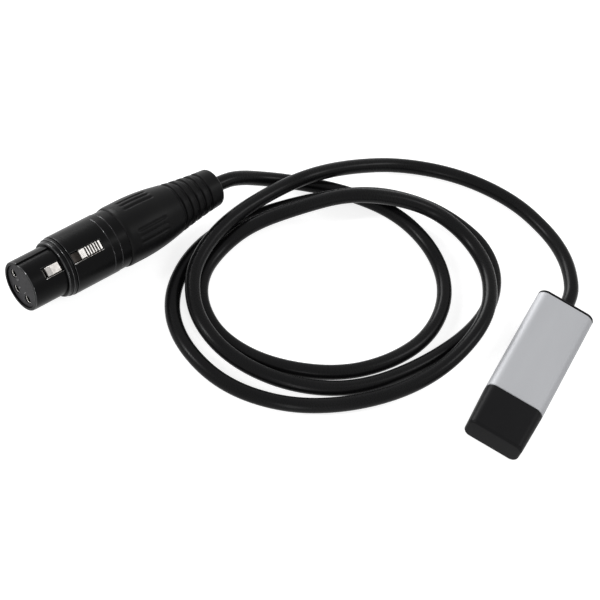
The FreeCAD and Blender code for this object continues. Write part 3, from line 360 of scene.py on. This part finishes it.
def buildSleeve():
    wide, high, corner, edge, wall = (housing[key] for key in ("width", "height", "corner", "edge", "wall"))
    bore = (wide - 2 * wall, high - 2 * wall, corner - wall, wall)
    rows = [
        roundedOutline(*bore, housing["front"]),
        roundedOutline(wide - 2 * edge, high - 2 * edge, corner - edge, edge, housing["front"]),
        roundedOutline(wide, high, corner, 0, housing["front"] + edge),
        roundedOutline(wide, high, corner, 0, housing["rear"] - edge),
        roundedOutline(wide - 2 * edge, high - 2 * edge, corner - edge, edge, housing["rear"]),
        roundedOutline(*bore, housing["rear"]),
    ]
    columns = len(rows[0])
    piece = addPiece("caseSleeve", [point for row in rows for point in row], ringFaces(len(rows), columns),
                     "anodisedAluminium", "root", ["case_sleeve"])
    roundEdges(piece, housing["bevel"], housing["bevelTurn"])


cap = {
    "mouth": -13.52, "nose": -29.0, "noseWidth": 18.4, "noseHeight": 8.35, "noseCorner": 2.4, "edge": 0.9,
    "mouthEdge": 0.12, "edgeSteps": 8, "sideSteps": 4, "bevel": 0.1, "bevelTurn": 40,
    "socketWidth": 12.24, "socketHeight": 4.74, "socketCorner": 0.72, "socketBase": 1.93,
    "socketEnd": -26.0,
}


def buildCap():
    mouth, nose, edge = cap["mouth"], cap["nose"], cap["edge"]

    def outer(along, inset=0):
        share = (mouth - along) / (mouth - nose)
        width = housing["width"] + (cap["noseWidth"] - housing["width"]) * share - 2 * inset
        height = housing["height"] + (cap["noseHeight"] - housing["height"]) * share - 2 * inset
        corner = housing["corner"] + (cap["noseCorner"] - housing["corner"]) * share
        return roundedOutline(width, height, max(corner - inset, edge / 2), inset, along)

    socket = (cap["socketWidth"], cap["socketHeight"], cap["socketCorner"], cap["socketBase"])
    rows = [roundedOutline(*socket, cap["socketEnd"]), roundedOutline(*socket, mouth),
            outer(mouth, cap["mouthEdge"]), outer(mouth - cap["mouthEdge"])]
    rows += [outer(mouth + (nose + edge - mouth) * step / cap["sideSteps"])
             for step in range(1, cap["sideSteps"] + 1)]
    for step in range(1, cap["edgeSteps"] + 1):
        angle = math.radians(90 * step / cap["edgeSteps"])
        rows.append(outer(nose + edge - edge * math.sin(angle), edge * (1 - math.cos(angle))))
    columns = len(rows[0])
    faces = ringFaces(len(rows), columns, closed=False)
    faces.append(tuple(range(columns)))
    faces.append(tuple(columns * (len(rows) - 1) + column for column in range(columns)))
    piece = addPiece("plugCap", [point for row in rows for point in row], faces,
                     "caseMoulding", "cap", ["usb_cap"])
    roundEdges(piece, cap["bevel"], cap["bevelTurn"])


endCap = {
    "spigotFront": 23.2, "end": 29.0, "edge": 0.4, "edgeSteps": 5, "fit": 0.05, "holeEdge": 0.15,
    "holeRoundness": 0.999, "bevel": 0.04, "bevelTurn": 40, "bevelSteps": 2,
}


def buildEndCap():
    wide, high, corner, wall = (housing[key] for key in ("width", "height", "corner", "wall"))
    front, end, edge, fit = (endCap[key] for key in ("spigotFront", "end", "edge", "fit"))
    middle = high / 2
    spigot = (wide - 2 * wall - 2 * fit, high - 2 * wall - 2 * fit, corner - wall - fit, wall + fit)
    hole = cable["diameter"] / 2 + fit

    def holeRow(along, grow=0):
        # A hair short of a true circle, so that no two points of it fall together
        size = 2 * (hole + grow)
        return roundedOutline(size, size, size / 2 * endCap["holeRoundness"], middle - size / 2, along)

    rows = [holeRow(front), roundedOutline(*spigot, front), roundedOutline(*spigot, housing["rear"]),
            roundedOutline(wide, high, corner, 0, housing["rear"]),
            roundedOutline(wide, high, corner, 0, end - edge)]
    for step in range(1, endCap["edgeSteps"] + 1):
        angle = math.radians(90 * step / endCap["edgeSteps"])
        inset = edge * (1 - math.cos(angle))
        rows.append(roundedOutline(wide - 2 * inset, high - 2 * inset, corner - inset, inset,
                                   end - edge + edge * math.sin(angle)))
    rows.append(holeRow(end, endCap["holeEdge"]))
    rows.append(holeRow(end - endCap["holeEdge"]))
    piece = addPiece("rearEndCap", [point for row in rows for point in row],
                     ringFaces(len(rows), len(rows[0])), "caseMoulding", "root", ["rear_end_cap"])
    roundEdges(piece, endCap["bevel"], endCap["bevelTurn"], endCap["bevelSteps"])


# The cable: its diameter is in millimetres, and its length and its route to the connector in metres

cable = {"diameter": 4.7, "length": 0.932, "exit": (0, 0.029, 0.0043), "runSteps": 10, "roundSteps": 9}
cableRoute = [
    (0, 0.029, 0.0043), (0, 0.0349, 0.0043), (-0.0027, 0.0413, 0.0042), (-0.008, 0.0487, 0.0035),
    (-0.0165, 0.055, 0.0026), (-0.0315, 0.0595, 0.0025), (-0.0505, 0.0575, 0.0025),
    (-0.069, 0.049, 0.0025), (-0.082, 0.035, 0.0055), (-0.0905, 0.021, 0.009), (-0.097, 0.010, 0.0075),
    (-0.103, -0.007, 0.008), (-0.105, -0.022, 0.008), (-0.1032, -0.035, 0.0069), (-0.094, -0.0468, 0.006),
    (-0.0785, -0.052, 0.0052), (-0.0595, -0.048, 0.0035), (-0.0425, -0.0365, 0.0025),
    (-0.0295, -0.017, 0.0025), (-0.0205, 0.007, 0.0025), (-0.022, 0.025, 0.0025), (-0.031, 0.036, 0.0025),
    (-0.0445, 0.0395, 0.0025), (-0.0575, 0.036, 0.0055), (-0.0715, 0.027, 0.009),
    (-0.0845, 0.0165, 0.006), (-0.096, 0.0045, 0.0025), (-0.1055, -0.012, 0.0025),
    (-0.108, -0.0295, 0.0025), (-0.104, -0.045, 0.0025), (-0.0935, -0.055, 0.0025),
    (-0.077, -0.0595, 0.0025), (-0.059, -0.055, 0.0025), (-0.0435, -0.044, 0.0025),
    (-0.030, -0.0295, 0.005), (-0.022, -0.0125, 0.007), (-0.0195, 0.008, 0.0083),
    (-0.0255, 0.024, 0.0068), (-0.0365, 0.0325, 0.0065), (-0.0495, 0.0345, 0.008),
    (-0.062, 0.029, 0.0115), (-0.0765, 0.019, 0.013), (-0.088, 0.007, 0.009), (-0.0975, -0.006, 0.0062),
    (-0.1014, -0.0175, 0.0031), (-0.1015, -0.0295, 0.0025), (-0.096, -0.0395, 0.0025),
    (-0.085, -0.046, 0.0025), (-0.069, -0.0453, 0.0025), (-0.0505, -0.036, 0.0025),
    (-0.0385, -0.022, 0.0025), (-0.032, -0.0055, 0.0025), (-0.034, 0.012, 0.0025),
    (-0.0445, 0.0245, 0.0025), (-0.061, 0.0305, 0.0025), (-0.0797, 0.0272, 0.0025),
    (-0.0964, 0.0189, 0.0028), (-0.1039, 0.0123, 0.0051), (-0.1083, 0.0066, 0.00805),
    (-0.111473, 0.00126, 0.00975), (-0.11341, -0.00335, 0.00975),
]


def buildCable():
    line = bpy.data.curves.new("cable", "CURVE")
    line.dimensions = "3D"
    spline = line.splines.new("NURBS")
    spline.points.add(len(cableRoute) - 1)
    for point, place in zip(spline.points, cableRoute):
        point.co = (*place, 1)
    spline.order_u = 3
    spline.use_endpoint_u = True
    spline.resolution_u = cable["runSteps"]
    line.bevel_depth = cable["diameter"] / 2 * mm
    line.bevel_resolution = cable["roundSteps"]
    line.use_fill_caps = True
    line.materials.append(finishes["cableJacket"])
    piece = bpy.data.objects.new("freeCable", line)
    bpy.context.scene.collection.objects.link(piece)
    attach(piece, "root")
    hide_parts("cable")
    return piece


# The connector is drawn along +Y from its nose with the latch at +Z, and lies in line with the cable's
# last run

connector = {"length": 72.8, "latchRoll": 23.5, "columns": 180}
lastRun = Vector(cableRoute[-2]) - Vector(cableRoute[-1])
connectorTurn = (Matrix.Rotation(-math.atan2(lastRun.x, lastRun.y), 4, "Z")
                 @ Matrix.Rotation(math.radians(connector["latchRoll"]), 4, "Y"))
connectorPlace = (Matrix.Translation(Vector(cableRoute[-1])) @ connectorTurn
                  @ Matrix.Translation((0, -connector["length"] * mm, 0)))

shell = {
    "nose": 7.9, "noseEnd": 11.4, "bore": 6.9, "noseEdge": 0.35, "rimEdge": 0.15,
    "lip": 8.9, "lipEnd": 12.8, "lipEdge": 0.55,
    "bead": 9.25, "beadEnd": 13.9, "beadEdge": 0.3, "beadBackEdge": 0.1,
    "neck": 8.9, "neckEnd": 14.15, "barrel": 9.45, "barrelEnd": 27.65, "barrelEdge": 0.15,
    "barrelBore": 8.2, "boreStep": 14.35, "seat": 8.7, "seatEnd": 30.5,
    "hookWindow": (5.0, 11.4), "buttonWindow": (14.5, 25.2), "windowHalf": 1.7, "windowEdge": 0.14,
    "keyTurn": -47.0, "keyHalf": 0.9, "keySlope": 0.08, "keyDepth": 0.5,
    "windowColumns": 8, "besideColumns": 12, "farColumns": 150, "keyColumns": 4,
}

# A side gets the painted edge highlight where it faces outward by a share between these two, and a
# window's painted highlight reaches this many of its edges' widths
paintedHighlightSpan = {"from": 0.42, "to": 0.92, "windowReach": 1.5}


def wearEdges(piece):
    # Painted highlight: rounded edges get a lighter, glossier finish, standing in for the light they catch
    piece.data.materials.append(finishes["shellEdgeHighlight"])
    back = connectorPlace.inverted()
    for side in piece.data.polygons:
        middle, facing = back @ side.center, back.to_3x3() @ side.normal
        share = facing.dot(Vector((middle.x, 0, middle.z)).normalized())
        if paintedHighlightSpan["from"] < share < paintedHighlightSpan["to"]:
            side.material_index = 1


def rubWindows(piece):
    # Painted highlight: bright metal colour on one side of each window and on the hook window's front
    piece.data.materials.append(finishes["windowEdgeHighlight"])
    back = connectorPlace.inverted()
    windows, half = (shell["hookWindow"], shell["buttonWindow"]), shell["windowHalf"]
    reach = paintedHighlightSpan["windowReach"] * shell["windowEdge"]
    for side in piece.data.polygons:
        middle = back @ side.center / mm
        alongWindow = any(start < middle.y < end for start, end in windows)
        onHighlightSide = alongWindow and abs(middle.x - half) < reach
        onFront = abs(middle.y - windows[0][0]) < reach and abs(middle.x) < half
        if side.material_index == 1 and middle.z > 0 and (onHighlightSide or onFront):
            side.material_index = 2


def shellRow(radius, grooved, windowHalf):
    # Columns crowd at the window's two edges and at the key groove's walls
    keyMiddle = math.radians(shell["keyTurn"])
    top = math.asin((shell["keyHalf"] + shell["keySlope"]) / radius)
    floor = math.asin((shell["keyHalf"] - shell["keySlope"]) / radius)
    window = math.asin(windowHalf / radius)
    marks = [
        (keyMiddle - top, 0, 1), (keyMiddle - floor, 1, shell["keyColumns"]), (keyMiddle + floor, 1, 1),
        (keyMiddle + top, 0, shell["besideColumns"]), (-window, 0, shell["windowColumns"]),
        (window, 0, shell["farColumns"]), (keyMiddle - top + math.tau, 0, 0),
    ]
    row = []
    for (start, low, steps), (end, lowToo, _) in zip(marks, marks[1:]):
        for step in range(steps):
            sunk = low and (lowToo or step == 0)
            reach = radius - (shell["keyDepth"] if grooved and sunk else 0)
            angle = start + (end - start) * step / steps
            row.append((reach * math.sin(angle), reach * math.cos(angle)))
    return row


def buildShell():
    # Both windows have a broken edge outside, so the surface opens a little wider than the hole below
    edge, half = shell["windowEdge"], shell["windowHalf"]
    windows = []
    for (start, end), backEdge in ((shell["hookWindow"], 0), (shell["buttonWindow"], edge)):
        windows.append({"open": (start - edge, end + backEdge), "hole": (start, end)})
    (hookOpen, hookShut), (hookStart, hookEnd) = windows[0]["open"], windows[0]["hole"]
    (buttonOpen, buttonShut), (buttonStart, buttonEnd) = windows[1]["open"], windows[1]["hole"]
    profile = softProfile([
        (shell["bore"], 0, shell["rimEdge"]), (shell["nose"], 0, shell["noseEdge"]),
        (shell["nose"], hookOpen, 0), (shell["nose"], hookShut, 0),
        (shell["lip"], shell["noseEnd"], shell["lipEdge"]), (shell["lip"], shell["lipEnd"], 0),
        (shell["bead"], shell["lipEnd"], shell["beadEdge"]),
        (shell["bead"], shell["beadEnd"], shell["beadBackEdge"]),
        (shell["neck"], shell["beadEnd"], 0), (shell["neck"], shell["neckEnd"], 0),
        (shell["barrel"], shell["neckEnd"], shell["barrelEdge"]),
        (shell["barrel"], buttonOpen, 0), (shell["barrel"], buttonShut, 0),
        (shell["barrel"], shell["barrelEnd"], shell["barrelEdge"]), (shell["seat"], shell["barrelEnd"], 0),
        (shell["seat"], shell["seatEnd"], 0), (shell["barrelBore"], shell["seatEnd"], 0),
        (shell["barrelBore"], buttonEnd, 0), (shell["barrelBore"], buttonStart, 0),
        (shell["barrelBore"], shell["boreStep"], 0), (shell["bore"], shell["boreStep"], 0),
        (shell["bore"], hookEnd, 0), (shell["bore"], hookStart, 0),
    ])

    def profileRow(radius, along):
        return next(index for index, corner in enumerate(profile)
                    if math.dist(corner, (radius, along)) < near)

    outerEnd = profileRow(shell["seat"], shell["seatEnd"])
    points = []
    for index, (radius, along) in enumerate(profile):
        outside = 0 < index <= outerEnd
        onNose = shell["bore"] + shell["keyDepth"] < radius <= shell["nose"] + near
        grooved = outside and onNose and along <= shell["noseEnd"]
        points += [(x, along, z) for x, z in shellRow(radius, grooved, half + edge if outside else half)]
    columns = len(points) // len(profile)
    firstWindow = 1 + shell["keyColumns"] + 1 + shell["besideColumns"]
    lastWindow = firstWindow + shell["windowColumns"]
    openRows = {columns * profileRow(*corner) for corner in (
        (shell["nose"], hookOpen), (shell["barrel"], buttonOpen),
        (shell["bore"], hookEnd), (shell["barrelBore"], buttonEnd))}
    faces = [face for face in ringFaces(len(profile), columns)
             if not (face[0] // columns * columns in openRows
                     and firstWindow <= face[0] % columns < lastWindow)]
    for window, outer, inner in zip(windows, (shell["nose"], shell["barrel"]),
                                    (shell["bore"], shell["barrelBore"])):
        (openStart, openEnd), (start, end) = window["open"], window["hole"]
        top, bottom = columns * profileRow(outer, openStart), columns * profileRow(outer, openEnd)
        sill = {}
        for along in (start, end):
            sill[along] = len(points)
            for step in range(shell["windowColumns"] + 1):
                across = half * (2 * step / shell["windowColumns"] - 1)
                points.append((across, along, math.sqrt((outer - edge) ** 2 - across ** 2)))
        ends = ((top, sill[start] - firstWindow, columns * profileRow(inner, start)),
                (bottom, sill[end] - firstWindow, columns * profileRow(inner, end)))
        for levels in ends:
            for upper, lower in zip(levels, levels[1:]):
                for column in range(firstWindow, lastWindow):
                    faces.append((upper + column, upper + column + 1, lower + column + 1, lower + column))
        for column in (firstWindow, lastWindow):
            for upper, lower in ((0, 1), (1, 2)):
                faces.append((ends[0][upper] + column, ends[1][upper] + column,
                              ends[1][lower] + column, ends[0][lower] + column))
    piece = addPiece("connectorShell", points, faces, "shellCoating", "root", ["connector_shell"],
                     connectorPlace)
    keepCrisp(piece)
    wearEdges(piece)
    rubWindows(piece)
    return piece


markingRing = {"inner": 8.75, "outer": 9.45, "front": 27.7, "rear": 30.45, "edge": 0.22}


def buildRing():
    ring = markingRing
    profile = softProfile([
        (ring["inner"], ring["front"], 0), (ring["outer"], ring["front"], ring["edge"]),
        (ring["outer"], ring["rear"], ring["edge"]), (ring["inner"], ring["rear"], 0),
    ])
    points, faces = turned(profile, connector["columns"])
    piece = addPiece("markingRing", points, faces, "ringMoulding", "root", ["marking_ring"],
                     connectorPlace)
    keepCrisp(piece)
    wearEdges(piece)
    return piece


collar = {
    "outer": 9.3, "front": 30.55, "rear": 33.95, "edge": 0.22, "thread": 8.1, "bore": 6.6,
    "threadStart": 27.9, "core": 8.0, "coreEnd": 47.0,
}


def buildCollar():
    profile = softProfile([
        (collar["bore"], collar["threadStart"], 0), (collar["thread"], collar["threadStart"], 0),
        (collar["thread"], collar["front"], 0), (collar["outer"], collar["front"], collar["edge"]),
        (collar["outer"], collar["rear"], collar["edge"]), (collar["core"], collar["rear"], 0),
        (collar["core"], collar["coreEnd"], 0), (collar["bore"], collar["coreEnd"], 0),
    ])
    points, faces = turned(profile, connector["columns"])
    piece = addPiece("bootCollar", points, faces, "ringMoulding", "root", ["boot_bushing"],
                     connectorPlace)
    keepCrisp(piece)
    wearEdges(piece)
    return piece


boot = {
    "start": 34.0, "mouthRadius": 9.5, "mouthRun": 1.6, "radius": 9.75, "bulgeStart": 40.0,
    "waist": 52.7, "waistRadius": 8.6, "end": 72.8, "tailRadius": 6.1, "tailEdge": 1.1, "flare": 193.0,
    "mouthEdge": 0.25, "bore": 8.05, "boreEnd": 47.0, "cableBore": 2.4, "cableBoreStart": 49.05,
    "ribStart": 56.1, "ribPitch": 2.78, "ribCount": 5,
    "ribShoulder": 0.8, "ribFloor": 0.34, "ribDepth": 0.66,
    "fluteStart": 37.4, "fluteEnd": 49.0, "fluteFade": 1.6, "fluteGroups": 5, "flutesInGroup": 3,
    "fluteStep": 12.0, "fluteTurn": 22.5, "fluteHalfWidth": 4.4, "fluteDepth": 0.36,
    "rowStep": 0.2, "rowGap": 0.05, "flankRows": 6, "tailSteps": 8, "cableEdge": 0.3, "columns": 270,
}


def bootRadius(along):
    if along < boot["start"] + boot["mouthRun"]:
        share = (along - boot["start"]) / boot["mouthRun"]
        return boot["mouthRadius"] + (boot["radius"] - boot["mouthRadius"]) * math.sin(share * math.pi / 2)
    if along < boot["bulgeStart"]:
        return boot["radius"]
    if along < boot["waist"]:
        drop, run = boot["radius"] - boot["waistRadius"], boot["waist"] - boot["bulgeStart"]
        curve = (drop ** 2 + run ** 2) / (2 * drop)
        return boot["radius"] - curve + math.sqrt(curve ** 2 - (along - boot["bulgeStart"]) ** 2)
    run = boot["end"] - boot["tailEdge"] - boot["waist"]
    drop = boot["tailRadius"] - boot["waistRadius"]
    share = min(1, (along - boot["waist"]) / run)
    sag = (drop ** 2 + run ** 2) / (8 * boot["flare"])
    return boot["waistRadius"] + drop * share + 4 * sag * share * (share - 1)


def smoothBump(distance, half):
    return math.cos(math.pi / 2 * distance / half) ** 2 if abs(distance) < half else 0


def ribDip(along):
    # Each groove between two ribs has a flat floor and short flanks
    distance = min(abs(along - boot["ribStart"] - boot["ribPitch"] * index)
                   for index in range(boot["ribCount"]))
    share = (boot["ribShoulder"] - distance) / (boot["ribShoulder"] - boot["ribFloor"])
    share = min(1, max(0, share))
    return boot["ribDepth"] * share * share * (3 - 2 * share)


def bootRows(start, end):
    # Even rows, with closer ones down the flanks of each groove
    ribs = [boot["ribStart"] + boot["ribPitch"] * index for index in range(boot["ribCount"])]
    steps = round((end - start) / boot["rowStep"])
    rows = [start + (end - start) * step / steps for step in range(steps + 1)]
    clear = boot["ribShoulder"] + boot["rowGap"]
    rows = [along for along in rows if all(abs(along - rib) > clear for rib in ribs)]
    for rib in ribs:
        for step in range(boot["flankRows"] + 1):
            offset = boot["ribFloor"] + (boot["ribShoulder"] - boot["ribFloor"]) * step / boot["flankRows"]
            rows += [rib - offset, rib + offset]
    return sorted(rows)


def fluteDip(along, turn):
    fade = min(along - boot["fluteStart"], boot["fluteEnd"] - along) / boot["fluteFade"]
    if fade <= 0:
        return 0
    spacing = 360 / boot["fluteGroups"]
    within = (turn - boot["fluteTurn"] + spacing / 2) % spacing - spacing / 2
    middle = (boot["flutesInGroup"] - 1) / 2
    across = max(smoothBump(within - boot["fluteStep"] * (index - middle), boot["fluteHalfWidth"])
                 for index in range(boot["flutesInGroup"]))
    return boot["fluteDepth"] * across * math.sin(min(1, fade) * math.pi / 2)


def buildBoot():
    columns, tailStart = boot["columns"], boot["end"] - boot["tailEdge"]
    rows = [(boot["cableBore"], boot["end"] - boot["cableEdge"], False),
            (boot["cableBore"], boot["cableBoreStart"], False),
            (boot["bore"], boot["boreEnd"], False), (boot["bore"], boot["start"], False),
            (boot["mouthRadius"] - boot["mouthEdge"], boot["start"], False)]
    for along in bootRows(boot["start"], tailStart):
        edge = max(0, 1 - (along - boot["start"]) / boot["mouthEdge"])
        rows.append((bootRadius(along) - boot["mouthEdge"] * (1 - math.sqrt(1 - edge ** 2)), along, True))
    for step in range(1, boot["tailSteps"] + 1):
        angle = math.radians(90 * step / boot["tailSteps"])
        rows.append((boot["tailRadius"] - boot["tailEdge"] * (1 - math.cos(angle)),
                     tailStart + boot["tailEdge"] * math.sin(angle), False))
    rows.append((boot["cableBore"] + boot["cableEdge"], boot["end"], False))
    points = []
    for radius, along, outside in rows:
        ribs = ribDip(along) if outside else 0
        for column in range(columns):
            angle = math.tau * column / columns
            reach = radius - ribs - (fluteDip(along, math.degrees(angle)) if outside else 0)
            points.append((reach * math.sin(angle), along, reach * math.cos(angle)))
    return addPiece("cableBoot", points, ringFaces(len(rows), columns), "bootRubber", "root",
                    ["cable_boot"], connectorPlace)


lever = {
    "halfWidth": 1.4, "armUnder": 5.3, "armTop": 6.35, "hookFront": 5.4, "hookRamp": 7.2, "hookBack": 10.2,
    "hookEnd": 10.8, "hookTop": 8.45, "hookBackTop": 7.7, "hookCrown": 4.5, "crownSteps": 8,
    "stepFront": 14.9, "stepTop": 8.3, "buttonFront": 17.0, "buttonBack": 24.6, "buttonTop": 9.95,
    "ribStart": 19.0, "ribPitch": 0.9, "ribWidth": 0.42, "ribDepth": 0.45, "ribCount": 6,
    "pivotY": 25.9, "pivotZ": 5.6, "pivotRadius": 0.8, "pivotFrom": -70, "pivotTurn": 140, "pivotSteps": 8,
    "edge": 0.1, "edgeTurn": 30,
}


def buildLever():
    # Side outline from the hook's front, under the arm, round the pivot and back over the top
    outline = [(lever["hookFront"], lever["armUnder"])]
    for step in range(lever["pivotSteps"] + 1):
        angle = math.radians(lever["pivotFrom"] + lever["pivotTurn"] * step / lever["pivotSteps"])
        outline.append((lever["pivotY"] + lever["pivotRadius"] * math.cos(angle),
                        lever["pivotZ"] + lever["pivotRadius"] * math.sin(angle)))
    outline += [(lever["buttonBack"], lever["armTop"]), (lever["buttonBack"], lever["buttonTop"])]
    floor = lever["buttonTop"] - lever["ribDepth"]
    for index in reversed(range(lever["ribCount"])):
        start = lever["ribStart"] + lever["ribPitch"] * index
        outline += [(start + lever["ribWidth"], lever["buttonTop"]), (start + lever["ribWidth"], floor),
                    (start, floor), (start, lever["buttonTop"])]
    outline += [(lever["buttonFront"], lever["buttonTop"]), (lever["buttonFront"], lever["stepTop"]),
                (lever["stepFront"], lever["stepTop"]), (lever["stepFront"], lever["armTop"]),
                (lever["hookEnd"], lever["armTop"]), (lever["hookEnd"], lever["hookBackTop"]),
                (lever["hookBack"], lever["hookTop"])]
    # The hook's ramp swells a little between its top and its front foot
    top, foot = Vector((lever["hookRamp"], lever["hookTop"])), Vector((lever["hookFront"], lever["armTop"]))
    chord = foot - top
    rise = lever["hookCrown"] - math.sqrt(lever["hookCrown"] ** 2 - (chord.length / 2) ** 2)
    outward = Vector((chord.y, -chord.x)).normalized()
    for step in range(lever["crownSteps"] + 1):
        share = step / lever["crownSteps"]
        outline.append(tuple(top + chord * share + outward * rise * 4 * share * (1 - share)))
    count = len(outline)
    points = [(side * lever["halfWidth"], along, height) for side in (-1, 1) for along, height in outline]
    faces = [tuple(range(count)), tuple(range(count, 2 * count))]
    faces += [(index, (index + 1) % count, count + (index + 1) % count, count + index)
              for index in range(count)]
    piece = addPiece("latchLever", points, faces, "latchNickel", "latch", ["latch_lever"],
                     connectorPlace)
    # Painted shade: dark in the rib gaps and on the step, darker and mottled on the hook's top; bright
    # nickel elsewhere
    piece.data.materials.append(finishes["latchPaintedShade"])
    piece.data.materials.append(finishes["latchHookMottledShade"])
    levels = {floor: 1, lever["stepTop"]: 1, lever["hookTop"]: 2}
    cheeks = 2  # the first two faces are the lever's flat sides
    for index in range(count):
        ends = (outline[index], outline[(index + 1) % count])
        for level, material in levels.items():
            if all(abs(height - level) < near for _, height in ends):
                piece.data.polygons[cheeks + index].material_index = material
    roundEdges(piece, lever["edge"], lever["edgeTurn"])
    return piece


contact = {
    "pitch": 4.5, "angle": 106.0, "bore": 1.23, "nose": 1.4, "front": 1.1, "lip": 0.085,
    "lipSteps": 12, "columns": 64,
}


def contactPlaces():
    # One contact on either side and one opposite the latch
    for turn in (contact["angle"], -contact["angle"], 180):
        angle = math.radians(turn)
        yield contact["pitch"] * math.sin(angle), contact["pitch"] * math.cos(angle)


def buildContactLips():
    # The rolled mouth of each socket, which catches the light just inside its hole
    middle, roll, steps = (contact["bore"] + contact["nose"]) / 2, contact["lip"], contact["lipSteps"]
    profile = [(middle + roll * math.cos(math.tau * step / steps),
                contact["front"] + roll * math.sin(math.tau * step / steps)) for step in range(steps)]
    ring, faces = turned(profile, contact["columns"])
    lips = []
    for number, (across, height) in enumerate(contactPlaces(), start=1):
        points = [(x + across, along, z + height) for x, along, z in ring]
        lips.append(addPiece(f"contactMouth{number}", points, faces, "silverPlating", "root", None,
                             connectorPlace))
    return lips


digit = {"size": 1.7, "pitch": 2.3, "raise": 0.05, "face": 0.6}


def buildDigits():
    # Plain raised numbers beside the contact holes
    marks = []
    share = digit["pitch"] / contact["pitch"]
    for number, (across, height) in enumerate(contactPlaces(), start=1):
        text = bpy.data.curves.new(f"digit{number}", "FONT")
        text.body = str(number)
        text.size = digit["size"]
        text.align_x, text.align_y = "CENTER", "CENTER"
        text.extrude = digit["raise"]
        holder = bpy.data.objects.new(f"digit{number}Text", text)
        bpy.context.scene.collection.objects.link(holder)
        bpy.context.view_layer.update()
        shape = bpy.data.meshes.new_from_object(holder)
        points = [(corner.co.x + across * share, digit["face"] - corner.co.z, corner.co.y + height * share)
                  for corner in shape.vertices]
        faces = [tuple(side.vertices) for side in shape.polygons]
        bpy.data.objects.remove(holder)
        mark = addPiece(f"digit{number}", points, faces, "insertMark", "root", None,
                        connectorPlace)
        keepCrisp(mark)
        marks.append(mark)
    return marks


print("housing")
buildSleeve()
buildCap()
buildEndCap()
print("cable")
cablePiece = buildCable()
print("connector")
shellPiece = buildShell()
ringPiece = buildRing()
collarPiece = buildCollar()
bootPiece = buildBoot()
leverPiece = buildLever()
contactLips = buildContactLips()
digits = buildDigits()


# The camera stands where the photograph was taken from

view = {
    "place": (-0.02447, -0.37606, 0.49828), "target": (-0.07225, -0.01686, 0), "roll": 24.2,
    "lens": 120, "sensor": 36, "nearest": 0.01,
}


def buildCamera():
    camera = bpy.data.objects.new("camera", bpy.data.cameras.new("camera"))
    bpy.context.scene.collection.objects.link(camera)
    camera.data.lens = view["lens"]
    camera.data.sensor_width = view["sensor"]
    camera.data.clip_start = view["nearest"]
    ahead = (Vector(view["target"]) - Vector(view["place"])).normalized()
    side = ahead.cross(Vector((0, 0, 1))).normalized()
    above = side.cross(ahead)
    level = Matrix((side, above, -ahead)).transposed().to_4x4()
    camera.matrix_world = (Matrix.Translation(Vector(view["place"])) @ level
                           @ Matrix.Rotation(math.radians(view["roll"]), 4, "Z"))
    bpy.context.scene.camera = camera


# A plain pale studio: floor, sky and soft lamps

studio = {
    "floorSize": 6.0, "floorColour": (0.55, 0.55, 0.55, 1), "floorRoughness": 0.9, "floorLift": 0.78,
    "skyLight": 0.45, "skyShown": 1.0,
}
lamps = {
    "leftBox": {"place": (-1.0, 0.35, 0.34), "size": (0.7, 0.5), "power": 13.0},
    "frontStrip": {"place": (0.50, -0.72, 0.34), "size": (0.05, 0.5), "power": 1.6},
    "frontLeftStrip": {"place": (-0.72, -0.70, 0.55), "size": (0.08, 0.4), "power": 5.0},
    "backRightBox": {"place": (0.62, 0.42, 0.86), "size": (0.3, 0.3), "power": 3.0},
}


def seenPlainly(nodes, links):
    # One for rays from the camera, off gloss and through glass, and nought for the rest
    path = nodes.new("ShaderNodeLightPath")
    seen = path.outputs["Is Camera Ray"]
    for kind in ("Is Glossy Ray", "Is Transmission Ray"):
        either = nodes.new("ShaderNodeMath")
        either.operation = "MAXIMUM"
        links.new(seen, either.inputs[0])
        links.new(path.outputs[kind], either.inputs[1])
        seen = either.outputs[0]
    return seen


def buildFloor():
    size = studio["floorSize"]
    corners = [(-size, -size, 0), (size, -size, 0), (size, size, 0), (-size, size, 0)]
    mesh = bpy.data.meshes.new("floor")
    mesh.from_pydata(corners, [], [(0, 1, 2, 3)])
    floor = bpy.data.objects.new("floor", mesh)
    bpy.context.scene.collection.objects.link(floor)
    material, nodes, links = newMaterial("floor")
    plain = nodes["Principled BSDF"]
    plain.inputs["Base Color"].default_value = studio["floorColour"]
    plain.inputs["Roughness"].default_value = studio["floorRoughness"]
    plain.inputs["Specular IOR Level"].default_value = 0
    lift = nodes.new("ShaderNodeEmission")
    lift.inputs["Color"].default_value = white
    strength = nodes.new("ShaderNodeMath")
    strength.operation = "MULTIPLY"
    strength.inputs[1].default_value = studio["floorLift"]
    links.new(seenPlainly(nodes, links), strength.inputs[0])
    links.new(strength.outputs[0], lift.inputs["Strength"])
    both = nodes.new("ShaderNodeAddShader")
    links.new(plain.outputs[0], both.inputs[0])
    links.new(lift.outputs[0], both.inputs[1])
    links.new(both.outputs[0], nodes["Material Output"].inputs["Surface"])
    mesh.materials.append(material)


def buildSky():
    world = bpy.data.worlds.new("studioSky")
    bpy.context.scene.world = world
    world.use_nodes = True
    nodes, links = world.node_tree.nodes, world.node_tree.links
    sky = nodes["Background"]
    sky.inputs["Color"].default_value = white
    strength = nodes.new("ShaderNodeMapRange")
    strength.inputs["To Min"].default_value = studio["skyLight"]
    strength.inputs["To Max"].default_value = studio["skyShown"]
    links.new(seenPlainly(nodes, links), strength.inputs["Value"])
    links.new(strength.outputs["Result"], sky.inputs["Strength"])


def buildLamps():
    aim = Vector(view["target"])
    for name, lamp in lamps.items():
        light = bpy.data.lights.new(name, "AREA")
        light.shape = "RECTANGLE"
        light.size, light.size_y = lamp["size"]
        light.energy = lamp["power"]
        holder = bpy.data.objects.new(name, light)
        bpy.context.scene.collection.objects.link(holder)
        holder.location = lamp["place"]
        holder.rotation_euler = (aim - Vector(lamp["place"])).to_track_quat("-Z", "Y").to_euler()


buildCamera()
buildFloor()
buildSky()
buildLamps()
bpy.context.scene.view_settings.view_transform = "Standard"
print("studio")
